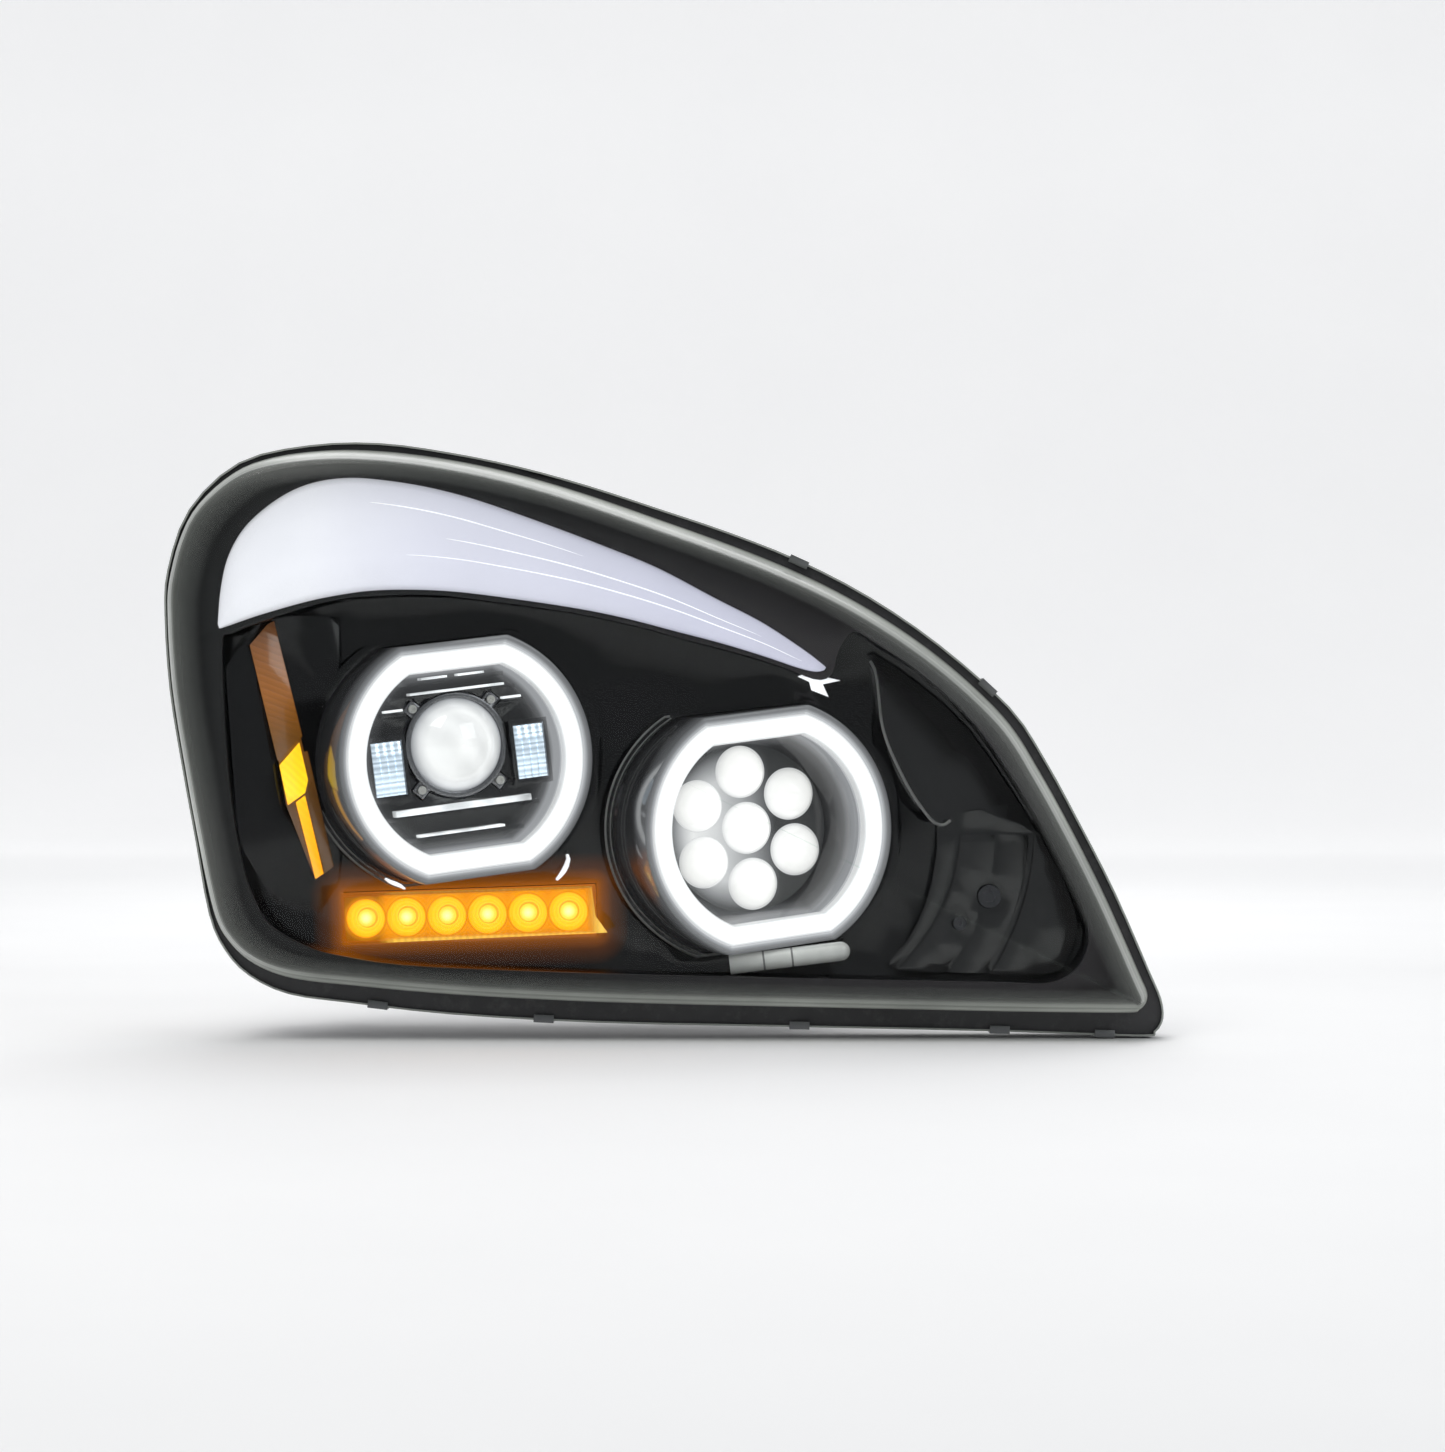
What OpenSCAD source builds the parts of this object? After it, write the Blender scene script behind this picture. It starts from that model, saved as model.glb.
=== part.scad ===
// Heavy-vehicle headlamp assembly: clear outer lens over a black bezel, projector low beam,
// seven-optic high beam, two D-cut halo rings, daytime-running bar, amber turn strip and side marker.
// -Y is out of the lens, +X inboard, +Z up; the origin is the centre of the four mounting bushings' rear faces.

/* [Housing and lens] */
// Y of the plane where the lens meets the housing rim
rim_y = -100; // [-104:1:-98]
// Height of the lens crown in front of the rim
lens_crown = 62; // [58:1:66]
// Wall of the outer lens
lens_wall = 2.8; // [2.2:0.1:3.2]
// Wall of the housing
case_wall = 3; // [2.5:0.1:3.4]
// Y of the housing's rear wall (outside)
rear_y = 50; // [49:1:52]

/* [Lamp modules] */
// Yaw of the beam axis towards the inboard side, in degrees
beam_yaw = 20; // [18:0.5:21]
// Roll of the lamp modules in the housing, in degrees
beam_roll = 7; // [6:0.5:8]
// Outer radius of each halo ring
halo_r = 85.5; // [84:0.5:86]
// Radial width of the glowing halo ring
halo_w = 14; // [12:0.5:15]
// Height of the halo's flat cuts from its centre
halo_flat = 77; // [75:0.5:78]
// Radius of the low-beam projector lens
proj_r = 33; // [31:0.5:33.5]
// Radius of each high-beam optic
optic_r = 18.5; // [17:0.25:18.75]
// Distance from the middle high-beam optic to the six around it
optic_pitch = 40; // [39:0.5:41]

/* [Turn strip] */
// Number of amber cells in the turn strip
turn_cells = 6; // [4:1:6]
// Spacing of the amber cells
turn_pitch = 28.5; // [27:0.5:29]

/* [Mounting and aim] */
// Mounting hole spacing across the lamp
mount_x = 340; // [330:1:345]
// Mounting hole spacing up the lamp
mount_z = 260; // [250:1:262]
// Bore radius of the steel mounting bushings
mount_r = 3.3; // [2.7:0.1:4.2]
// Radius of the aim frame's pivot pins
pivot_r = 5; // [4:0.25:5.5]
// Radial running clearance on the pivot pins and spindles
run_gap = 0.08; // [0.05:0.01:0.1]

/* [Hidden] */
$fn = 48;

// ---- outlines in the XZ plane, [x, z] control points ----
// Silhouette of the housing rim
rim_pts = [[-240,97],[-238,129],[-223,171],[-188,204],[-139,216],[-90,217.5],[-41,211],[8,201],[57,187.5],
  [106,171.5],[155,155],[204,135.5],[253,110],[302,76.5],[351,33],[376,-4],[400,-48],[425,-97],[449,-152],
  [457,-171],[458.5,-185],[453,-194.5],[442,-197.5],[344,-194],[204,-191],[64,-188],[-41,-182],[-111,-174],
  [-153,-168],[-181,-155],[-198,-137],[-209,-112],[-218.5,-60],[-228,-8],[-236.5,45]];
// Foot of the outer lens
lens_pts = [[-238,97],[-235.5,128],[-220.5,169],[-185,200.5],[-138,211.5],[-90,212],[-41,206],[8,195.5],[57,181],
  [106,164],[155,146.5],[204,126.5],[253,101],[302,67.5],[346,27],[369,-7],[394,-52],[418,-100],[442,-154],
  [446.5,-164],[447.5,-170],[445.5,-175.5],[441,-179.6],[435.5,-181],[400,-180.8],[344,-180],[204,-177],[64,-173.5],[-41,-168],[-108,-162],
  [-150,-157],[-177,-147],[-195,-131],[-206,-109],[-216.5,-60],[-226,-8],[-234.5,45]];
// Edge of the deep opening in the bezel
well_pts = [[-199.5,81],[-199,38],[-195,-20],[-188,-67],[-178,-101],[-164,-122],[-137,-137],[-113,-143],[-72,-149],
  [-2,-152.5],[106,-156],[240,-159],[344,-161],[377,-161.5],[397,-152],[407,-132],[404,-108],[391,-78],
  [365,-32],[328,22],[292,57],[260,78],[241,88],[229,74],[224,57],[214,54.5],[193,63],[158,73.5],[118,84],
  [91,91.5],[43,101.5],[-8,108.5],[-45,112.7],[-83,113],[-118,110],[-153,100.5],[-178,92],[-192,86]];
// Upper and lower edges of the daytime-running bar, from the outboard end to the tip
bar_top = [[-200.5,90],[-198.5,114],[-193.5,136.5],[-183,156],[-167,171.5],[-148,183.5],[-128,190],[-106,192],
  [-82,190],[-57,186],[-32,180],[-8,172.5],[30,159],[67,145],[105,129.5],[145,108.5],[177,92],[204,74.5],[218,64],[222.5,60]];
bar_low = [[-199.5,87.5],[-192,90],[-183,93.2],[-173,96.6],[-160,100.5],[-146,104.5],[-131,108.2],[-113,111.5],
  [-95,113.8],[-72,114.6],[-45,113.8],[-15,110.8],[42,102.6],[80,95.2],[118,85.4],[150,77],[180,67.8],[203,60],[215,57.4],[221.5,58.5]];
// Inboard panel, right of its curved seam
panel_pts = [[250,80],[262,71],[290,52],[326,19],[362,-33],[388,-78],[400.5,-107],[403,-131],[394,-150],[377,-158],
  [300,-157],[262,-152],[279,-130],[291,-105],[297,-80],[299,-52],[284,-38],[270,-14],[259,18],[254,46]];

// ---- small functions ----
function cr(a,b,c,d,t) = 0.5*((2*b)+(c-a)*t+(2*a-5*b+4*c-d)*t*t+(3*b-a-3*c+d)*t*t*t);
function loop_spline(p,k) = let(n=len(p)) [for(i=[0:n-1]) for(j=[0:k-1]) cr(p[(i+n-1)%n],p[i],p[(i+1)%n],p[(i+2)%n],j/k)];
function unit(v) = v/norm(v);
function inset(p,d) = let(n=len(p)) [for(i=[0:n-1]) let(t=unit(p[(i+1)%n]-p[(i+n-1)%n])) p[i]+d*[t[1],-t[0]]];
function at_y(p,y) = [for(q=p) [q[0],y,q[1]]];
function toward(p,c,t) = [for(q=p) q*(1-t)+c*t];
function open_at(p,u) = let(n=len(p)-1, s=min(u*n,n-0.0001), i=floor(s), t=s-i)
  cr(p[max(i-1,0)],p[i],p[i+1],p[min(i+2,n)],t);
rim = loop_spline(rim_pts,3);
foot = loop_spline(lens_pts,2);
well = loop_spline([for(i=[len(well_pts)-1:-1:0]) well_pts[i]],3);
lens_mid = [98,-6];
strip_y = function(x) -112 + (x+197)*0.42;   // the slanted face that carries the side marker

// solid through rings of equal length, first ring to last
module loft(rings) {
  n=len(rings[0]); m=len(rings);
  polyhedron([for(r=rings) each r],
    concat([[for(i=[n-1:-1:0]) i]],
      [for(k=[0:m-2]) for(i=[0:n-1]) for(f=[0,1]) f==0 ? [k*n+i,k*n+(i+1)%n,(k+1)*n+(i+1)%n] : [k*n+i,(k+1)*n+(i+1)%n,(k+1)*n+i]],
      [[for(i=[0:n-1]) (m-1)*n+i]]));
}
module ins(p,d) { offset(delta=-d) polygon(p); }
module flat(y0,y1) { translate([0,y1,0]) rotate([90,0,0]) linear_extrude(y1-y0) children(); }
module back(h,r,r2=-1) { rotate([-90,0,0]) cylinder(h=h,r1=r,r2=r2<0?r:r2); }   // along +Y
module aimf() { translate([-29,rim_y-8,-3.5]) rotate([0,0,beam_yaw]) rotate([0,-beam_roll,0]) children(); }
module lowf() { aimf() children(); }
module highf() { aimf() translate([191,-72,-73]) children(); }
module dcut(r,f) { intersection() { circle(r); square([2*r+2,2*f],center=true); } }
module ring2(a,b) { difference() { circle(a); circle(b); } }
module wedge_y(p,f0,y1) loft([[for(q=p) [q[0],y1,q[1]]],[for(q=p) [q[0],f0(q[0]),q[1]]]]);   // prism over a convex outline whose front follows f0
// ---- housing ----
body_core = [[-130,70],[110,70],[208,6],[208,-92],[-125,-96]];
mounts = [[-mount_x/2,mount_z/2],[mount_x/2,mount_z/2],[mount_x/2,-mount_z/2],[-mount_x/2,-mount_z/2]];
low_cap_c = [-87,6]; high_cap_c = [125,-53]; cap_hole = 46;
sock_c = [19,-60];
vents = [[-128,-82],[208,-44]];
module core(r) { offset(r=r) polygon(body_core); }
module skirt(d) hull() { flat(-62-(d>0?1:0),-60) ins(rim,5+d); flat(-34,-33) core(26-d); }
module tub(d) hull() { flat(-34,-33) core(26-d); flat(rear_y-d-1,rear_y-d) core(20-d); }
module arm(p,q,w) {   // flat arm from p to q, just ahead of the mounting plane
  v=q-p; translate([p[0],-11,p[1]]) rotate([0,-atan2(v[1],v[0]),0]) translate([0,0,-w/2]) cube([norm(v),9,w]);
}
module housing() { color([0.08,0.08,0.085]) difference() {
  union() {
    // rim: raised lip, sealant groove, flange and side wall
    flat(rim_y-4,rim_y) difference() { polygon(rim); ins(rim,1.3); }
    flat(rim_y,rim_y+11) difference() { polygon(rim); ins(foot,-0.45); }
    flat(rim_y,rim_y+11) difference() { ins(foot,4); ins(foot,7); }
    flat(rim_y+11,rim_y+14) difference() { polygon(rim); ins(foot,7); }
    flat(rim_y+14,-62) difference() { ins(rim,5); ins(rim,5+case_wall); }
    difference() {
      union() {
        skirt(0); tub(0);
        arm([-120,80],mounts[0],20); arm([130,40],mounts[1],20); arm([150,-88],mounts[2],20); arm([-118,-88],mounts[3],20);
        for(c=[low_cap_c,high_cap_c]) translate([c[0],rear_y-3,c[1]]) back(13,cap_hole+5);
        lowf() translate([ball[0],140,ball[2]]) back(34,13);
        for(v=vents) translate([v[0],rear_y-2,v[1]]) back(12,5);
        translate([sock_c[0]-23,rear_y-2,sock_c[1]-15]) cube([46,6,30]);
        for(x=[8,82]) for(z=[22,70]) translate([x,rear_y-1,z]) back(4,4.5);
        for(z=[-100,-90]) translate([-90,rear_y-1,z]) cube([130,4,2.4]);
      }
      skirt(case_wall); tub(case_wall);
    }
    for(m=mounts) translate([m[0],-14,m[1]]) back(13.9,11);
  }
  for(m=mounts) translate([m[0],-20,m[1]]) { back(24,6.5); back(7.2,9.1); }
  for(c=[low_cap_c,high_cap_c]) translate([c[0],rear_y-12,c[1]]) back(30,cap_hole);
  lowf() translate([ball[0],130,ball[2]]) back(60,9);
  for(v=vents) translate([v[0],rear_y-8,v[1]]) back(22,2.5);
  translate([sock_c[0]-18,rear_y-8,sock_c[1]-10]) cube([36,20,20]);
  for(x=[8,82]) for(z=[22,70]) translate([x,rear_y-1.5,z]) back(8,1.7);
  // bayonet groove in each collar, and the notches that let the cap's lugs in
  for(c=[low_cap_c,high_cap_c]) translate([c[0],0,c[1]]) {
    translate([0,rear_y+1.4,0]) back(3.8,cap_hole+2.6);
    for(a=[0,120,240]) rotate([0,a,0]) translate([-7,rear_y+1.4,cap_hole-2]) cube([14,12,4.4]);
  }
} }
module mount_bushings() { color("silver") for(m=mounts) translate([m[0],-14,m[1]])
  difference() { union() { back(14,6.45); back(1.2,9); } translate([0,-1,0]) back(16,mount_r); } }
module outer_lens() { color([0.9,0.93,0.93,0.3]) {
  y=rim_y; w=lens_wall; k=lens_crown;
  o=[[0,y+8],[0,y-3],[1.6,y-12],[3.6,y-24],[5.8,y-33],[8,y-38],[10.4,y-0.68*k]];
  i=[[10.3,y-0.68*k+w+2.6],[w+5.4,y-31],[w+3.6,y-23],[w+1.6,y-12],[w,y-3],[w,y+8]];
  c=[[0.05,0.72],[0.13,0.77],[0.26,0.835],[0.43,0.9],[0.63,0.955],[0.82,0.99],[0.95,1]];
  edge=inset(foot,10.4); inner=inset(foot,10.6);
  loft(concat([for(j=[len(c)-1:-1:0]) at_y(toward(inner,lens_mid,c[j][0]+0.006),y-c[j][1]*k+w)],[for(r=i) at_y(inset(foot,r[0]),r[1])],
    [for(r=o) at_y(inset(foot,r[0]),r[1])],[for(r=c) at_y(toward(edge,lens_mid,r[0]),y-r[1]*k)]));
} }
module lens_sealant() { color([0.05,0.05,0.05]) flat(rim_y+8.05,rim_y+10.95) difference() { ins(foot,-0.4); ins(foot,3.9); } }
// places of the spring clips along the rim
clips = [33,41,67,69,72,76,80];
module lens_clips() { color([0.62,0.64,0.64]) for(i=clips) let(p=rim[i], t=unit(rim[i+1]-rim[i-1])) translate([p[0],0,p[1]]) rotate([0,-atan2(t[0],-t[1]),0]) {
  translate([0.3,rim_y-5.4,-7]) cube([1.2,20.9,14]);
  translate([-4,rim_y-5.4,-7]) cube([4.4,1.2,14]);
  translate([-4,rim_y+14.3,-7]) cube([4.4,1.2,14]);
} }
// ---- bezel ----
module bezel() { color([0.03,0.03,0.035]) {
  land=rim_y-20;
  difference() {
    union() {
      flat(land,land+2.5) difference() { edge_cut(9.2); ins(well,2.4); bar_shape(-0.4); }
      flat(land+2.5,-69) difference() { edge_cut(9.2); edge_cut(11.2); }
      flat(land+2.5,-69) difference() { polygon(well); ins(well,2.4); }
      flat(-70,-67.5) ins(well,0.5);
      // shelf behind the daytime-running bar
      flat(-101.4,-99.4) bar_shape(-2.2);
      // slanted face that carries the side marker
      wedge_y([[-197,60],[-172,97],[-121,97],[-121,-92],[-134,-112],[-168,-98],[-188,-62]], function(x) strip_y(x)+4.3, -69);
      // collars round the feet of the two cups
      intersection() { lowf() tube_d(99,86,-5,95); translate([-200,-80,-160]) cube([600,11,320]); }
      intersection() { highf() tube_d(99,86,-5,95); translate([-200,-80,-160]) cube([600,11,320]); }
    }
    lowf() tube_d(92.8,83.8,-30,130);
    highf() tube_d(92.8,83.8,-30,130);
    turnf() translate([-17.4,-95,-18.9]) cube([turn_end+36.8,40,36.8]);
  }
} }
module edge_cut(d) { difference() { ins(foot,d); translate([442.2-d,-200]) square([60,90]); } }
module tube_d(r,f,y0,y1) { translate([0,y1,0]) rotate([90,0,0]) linear_extrude(y1-y0) dcut(r,f); }
module bar_shape(d) { offset(delta=-d) polygon(concat([for(u=[0:1/48:1]) open_at(bar_top,u)],[for(u=[1:-1/48:0]) open_at(bar_low,u)])); }
module inboard_panel() { color([0.05,0.05,0.052]) difference() {
  union() {
    flat(-76,-70.3) offset(r=3) offset(delta=-6) polygon(loop_spline(panel_pts,2));
    // curved rib along the seam
    flat(-90,-75) intersection() { offset(r=3) offset(delta=-6) polygon(loop_spline(panel_pts,2));
      difference() { polygon(seam); translate([3,1.2]) polygon(seam); } }
    // stepped bowl round the high beam
    for(q=[[118,132,-80],[136,160,-84],[164,184,-79],[188,230,-86]]) flat(q[2],-75) intersection() {
      offset(r=3) offset(delta=-6) polygon(loop_spline(panel_pts,2)); translate([182,-52]) ring2(q[1],q[0]); translate([262,-165]) square([160,108]); }
  }
  translate([318,-95,-120]) rotate([0,-18,0]) { translate([-6.5,0,-8]) cube([13,21,16]); for(z=[-8,8]) translate([0,0,z]) back(21,6.5); }
  translate([339,-95,-101]) back(21,11.5);
} }
seam = loop_spline([[240,100],[256,60],[262,18],[274,-12],[288,-36],[303,-50],[330,-40],[420,-60],[440,100]],3);
module panel_screws() { color([0.12,0.12,0.125]) for(p=[[318,-120,4.6],[339,-101,8]]) translate([p[0],-76.5,p[1]])
  difference() { back(2.4,p[2]); translate([0,-1,0]) rotate([-90,0,0]) cylinder(h=2.2,r=p[2]*0.5,$fn=6); } }
// ---- daytime-running bar ----
module drl_guide() { color([0.9,0.9,0.97]) {
  n=40; yb=rim_y-13;
  sec=function(u) let(a=open_at(bar_top,u), b=open_at(bar_low,u), w=norm(a-b), m=(a+b)/2, h=min(7,w*0.16))
    [for(q=[[a,yb],[a,yb-7],[a*0.93+b*0.07,yb-7-h*0.55],[a*0.75+b*0.25,yb-7-h*0.9],[m,yb-7-h],[a*0.25+b*0.75,yb-7-h*0.9],[a*0.07+b*0.93,yb-7-h*0.55],[b,yb-7],[b,yb]])
      [q[0][0],q[1],q[0][1]]];
  loft([for(i=[n:-1:0]) sec(0.002+0.99*i/n)]);
} }
module drl_reflector() { color([0.85,0.85,0.87]) difference() {
  flat(rim_y-12.6,rim_y-2) bar_shape(0.9); flat(rim_y-14,rim_y-4) bar_shape(2.6); } }
module drl_board() { color([0.1,0.3,0.16]) {
  flat(rim_y-5.8,rim_y-4.05) bar_shape(3.4);
  for(i=[1:22]) let(u=0.02+i*0.038, m=(open_at(bar_top,u)+open_at(bar_low,u))/2) translate([m[0]-1.7,rim_y-7,m[1]-1.7]) cube([3.4,1.25,3.4]);
} }

// ---- side marker ----
module tilted(p,d,t) { wedge_free(p,function(x) strip_y(x)-d, function(x) strip_y(x)-d+t); }
module wedge_free(p,f0,f1) loft([[for(q=p) [q[0],f1(q[0]),q[1]]],[for(q=p) [q[0],f0(q[0]),q[1]]]]);   // prism between two slanted faces
module side_marker_lens() { color([0.55,0.28,0.06]) {
  tilted([[-180,76],[-168.5,90.5],[-164,93],[-139.5,-20],[-152,-20],[-162,-3],[-179,73]],0.4,2.8);
  tilted([[-161.6,-2],[-141.8,2],[-124,-79.5],[-136.5,-88.5],[-156,-36]],0.4,2.8);
  tilted([[-180,76],[-168.5,90.5],[-164,93],[-145,12.5],[-161,-5],[-162,-3],[-179,73]],2.5,2.3);
  tilted([[-142.2,-27.2],[-138.8,-19],[-124,-79.5],[-130,-84.2]],2.5,2.3);
} }
module side_marker_guide() { color([1,0.75,0.05]) {
  tilted([[-160.3,-8],[-147,8],[-141.2,-18.5],[-143.2,-27.5],[-154.6,-36]],3,2.5);
  tilted([[-149.3,-34],[-143.2,-29.2],[-130.7,-84.4],[-136.1,-88]],3,2.5);
} }
module side_marker_board() { color([0.1,0.3,0.16]) tilted([[-173,77],[-165.5,89],[-128,-72],[-138,-78]],-2.5,1.7); }
// ---- turn strip ----
module turnf() { translate([-100.5,0,-115.3]) rotate([0,-2,0]) children(); }
turn_end = (turn_cells-1)*turn_pitch;
module turn_housing() { color([0.07,0.07,0.07]) turnf() difference() {
  union() {
    translate([-17,-93,-18.5]) cube([turn_end+36,22,36]);
    translate([-17,-72,-17]) cube([turn_end+36,8,33]);
  }
  translate([-15,-94,-16.5]) cube([turn_end+32,26,32]);
} }
module turn_reflector() { color([0.8,0.5,0.1]) turnf() difference() {
  translate([-14.8,-91,-16.2]) cube([turn_end+31.6,14,31.4]);
  for(i=[0:turn_cells-1]) translate([i*turn_pitch,-92,-0.4]) back(15.6,13.9,6.8);
} }
module turn_board() { color([0.1,0.3,0.16]) turnf() { translate([-14.8,-76.4,-16]) cube([turn_end+31.4,1.6,31]);
  for(i=[0:turn_cells-1]) translate([i*turn_pitch-2,-77.6,-2.4]) cube([4,1.25,4]); } }
module turn_optics() { color([1,0.7,0.1]) turnf() for(i=[0:turn_cells-1]) translate([i*turn_pitch,-90,-0.4]) {
  intersection() { translate([0,6.2,0]) sphere(6.2); back(8,6.1); } translate([0,7.9,0]) back(4,4.2); } }
module turn_lens() { color([1,0.6,0.1,0.5]) turnf() {
  flat(-95.5,-93.2) polygon([[-17,-18],[turn_end+27,-16],[turn_end+19,-4],[turn_end+17,17],[-17,17.5]]);
} }
module vialf() { translate([191,-104,-143]) rotate([0,-beam_roll,0]) children(); }
module vial_cradle() { color([0.5,0.5,0.5]) vialf() for(x=[-28,28]) difference() { translate([x,-2,-5.5]) cube([6,35.9,11]); translate([x-1,0,0]) rotate([0,90,0]) cylinder(h=8,r=6.85); } }
module level_vial() { color([0.85,0.86,0.84,0.6]) vialf() { translate([-36,0,0]) rotate([0,90,0]) cylinder(h=78,r=6.8); translate([42,0,0]) sphere(6.8); } }
// ---- cups and halos ----
module cup() { difference() {
    tube_d(92,83,-3,90);
    tube_d(88.5,79.5,9,95);
    tube_d(halo_r-halo_w,halo_flat-halo_w,-10,20);
    tube_d(halo_r+0.8,halo_flat+0.8,-10,6.9);
  } }
module cut_at_floor() { intersection() { children(); translate([-300,-300,-300]) cube([800,300-66,600]); } }
module low_cup() { color([0.03,0.03,0.03]) cut_at_floor() lowf() cup(); }
module high_cup() { color([0.03,0.03,0.03]) cut_at_floor() highf() cup(); }
module halo() { difference() {
    translate([0,4,0]) rotate([90,0,0]) linear_extrude(9) dcut(halo_r,halo_flat);
    translate([0,5,0]) rotate([90,0,0]) linear_extrude(12) dcut(halo_r-halo_w,halo_flat-halo_w); } }
module low_halo() { color([1,1,1]) lowf() halo(); }
module high_halo() { color([1,1,1]) highf() halo(); }
module halo_board() { difference() {
    union() { tube_d(halo_r-1,halo_flat-1,5.6,6.8);
      for(a=[12:24:359]) if(abs(78*sin(a))<68) rotate([0,a,0]) translate([77,4.05,-1.5]) cube([3,1.6,3]); }
    tube_d(halo_r-halo_w+1,halo_flat-halo_w+1,0,9); } }
module low_halo_board() { color([0.9,0.9,0.88]) lowf() halo_board(); }
module high_halo_board() { color([0.9,0.9,0.88]) highf() halo_board(); }

// ---- low-beam projector, centred 10 above the halo ----
pz=10;
module projector_lens() { color([0.93,0.94,0.95]) lowf() translate([0,24,pz]) rotate([90,0,0]) let(h=19,e=3,R=(proj_r*proj_r+h*h)/(2*h))
  intersection() { translate([0,0,e+h-R]) sphere(R,$fn=96); cylinder(h=e+h+1,r=proj_r,$fn=96); } }
module lens_retainer() { color([0.75,0.76,0.78]) lowf() translate([0,0,pz]) difference() {
  union() { translate([0,19,0]) back(12,37); for(a=[45:90:359]) rotate([0,a,0]) translate([35,21,-5]) cube([10,6,10]); }
  translate([0,18,0]) back(6.1,proj_r+0.15); translate([0,20,0]) back(14,proj_r-2);
  for(a=[45:90:359]) rotate([0,a,0]) translate([40.6,18,0]) back(14,1.6);
} }
module retainer_screws() { color("silver") lowf() translate([0,0,pz]) for(a=[45:90:359]) rotate([0,a,0]) translate([40.6,0,0])
  { translate([0,20,0]) back(7,1.55); difference() { translate([0,18.6,0]) back(2.35,3); translate([0,18,0]) rotate([-90,0,0]) cylinder(h=1.6,r=1.5,$fn=6); } } }
module cutoff_shield() { color([0.35,0.35,0.36]) lowf() translate([0,52,pz]) rotate([90,0,0]) linear_extrude(1.5)
  difference() { intersection() { circle(36.8); translate([-40,-40]) square([80,38]); } polygon([[0,-1],[-40,1],[-40,3],[2,3],[6,-4]]); } }
module projector_body() { color([0.55,0.56,0.58]) lowf() translate([0,0,pz]) difference() {
  union() { translate([0,31.1,0]) back(30,40); translate([0,61,0]) back(24,40,34); translate([0,85,0]) back(16,34,26); for(a=[0,90,180,270]) rotate([0,a+45,0]) translate([34,56,-6]) cube([20,4,12]); }
  translate([0,31,0]) back(30.1,37); translate([0,61,0]) back(24.1,37,31); translate([0,85,0]) back(16.1,31,22);
} }
module low_led_board() { color([0.85,0.85,0.83]) lowf() translate([0,0,pz]) { translate([-15,96,-15]) cube([30,1.9,30]); translate([-4,94.9,-4]) cube([8,1.15,8]); } }
module fins(w,n,l,r,y0) { for(i=[0:n-1]) let(x=-r+(i+0.5)*2*r/n, h=sqrt(max(r*r-x*x,1))) translate([x-w/2,y0,-h]) cube([w,l,2*h]); }
module low_heatsink() { color([0.6,0.61,0.62]) lowf() translate([0,0,pz]) { translate([0,101.1,0]) back(5,42); translate([-12,97.95,-12]) cube([24,3.2,24]); fins(1.8,13,20,41,106); } }
module fan_frame() { color([0.1,0.1,0.1]) lowf() translate([0,126.1,pz]) { difference() { translate([-30,0,-30]) cube([60,11,60]); translate([0,-1,0]) back(13,27.5); }
  for(a=[30,150,270]) rotate([0,a,0]) translate([-1.2,9,0]) cube([2.4,2,28.5]); translate([0,9,0]) back(2,9); } }
module fan_rotor() { color([0.16,0.16,0.17]) lowf() translate([0,127.2,pz]) { back(7,10.5);
  for(a=[0:7]) rotate([0,a*45,0]) translate([0,3.6,0]) rotate([0,0,38]) translate([-0.8,-4.6,9.5]) cube([1.6,9.2,16.2]); } }
// black shroud round the projector lens, with bright steps above and below
module low_shroud() { color([0.03,0.03,0.03]) lowf() difference() {
  union() {
    translate([0,26,0]) rotate([90,0,0]) linear_extrude(3) dcut(78,67);
    translate([0,42,0]) rotate([90,0,0]) linear_extrude(17) difference() { dcut(78,67); dcut(75.5,64.5); }
    translate([-46,15,45]) cube([92,9,3]); translate([-52,18,35]) cube([104,6,3]); translate([-38,13,55]) cube([76,11,3]);
    translate([-58,14,-38]) cube([112,10,3]); translate([-44,12,-54]) cube([84,12,3]);
    for(s=[-1,1]) translate([s*52-14,14,-24]) cube([28,10,46]);
  }
  translate([0,-2,pz]) back(60,38);
  for(s=[-1,1]) translate([s*52-11.2,10,-21]) cube([22.4,10,40]);
  for(a=[45:90:359]) translate([0,0,pz]) rotate([0,a,0]) translate([36,10,-6]) cube([10,17.5,12]);
} }
module shroud_trim() { color("white") lowf() {
  translate([-31,13.6,48.1]) cube([69,9.3,1.6]);
  for(s=[-1,1]) translate([s<0?-50:36.6,16,38.1]) cube([13.4,6.9,1.6]);
  for(x=[-22,5]) translate([x,12,58.1]) cube([19,10,1.5]);
  translate([-51,12.6,-34.9]) cube([99,10.3,4.2]);
  translate([-36,11.2,-50.9]) cube([62,11.7,1.6]);
  for(s=[-1,1]) { for(k=[0:3]) translate([s*52-10.6+k*5.4,14.2,-19.6]) cube([4.6,5.7,37.4]); translate([s*52-10.8,19.4,-19.8]) cube([21.6,0.55,37.8]); }
} }

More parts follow.
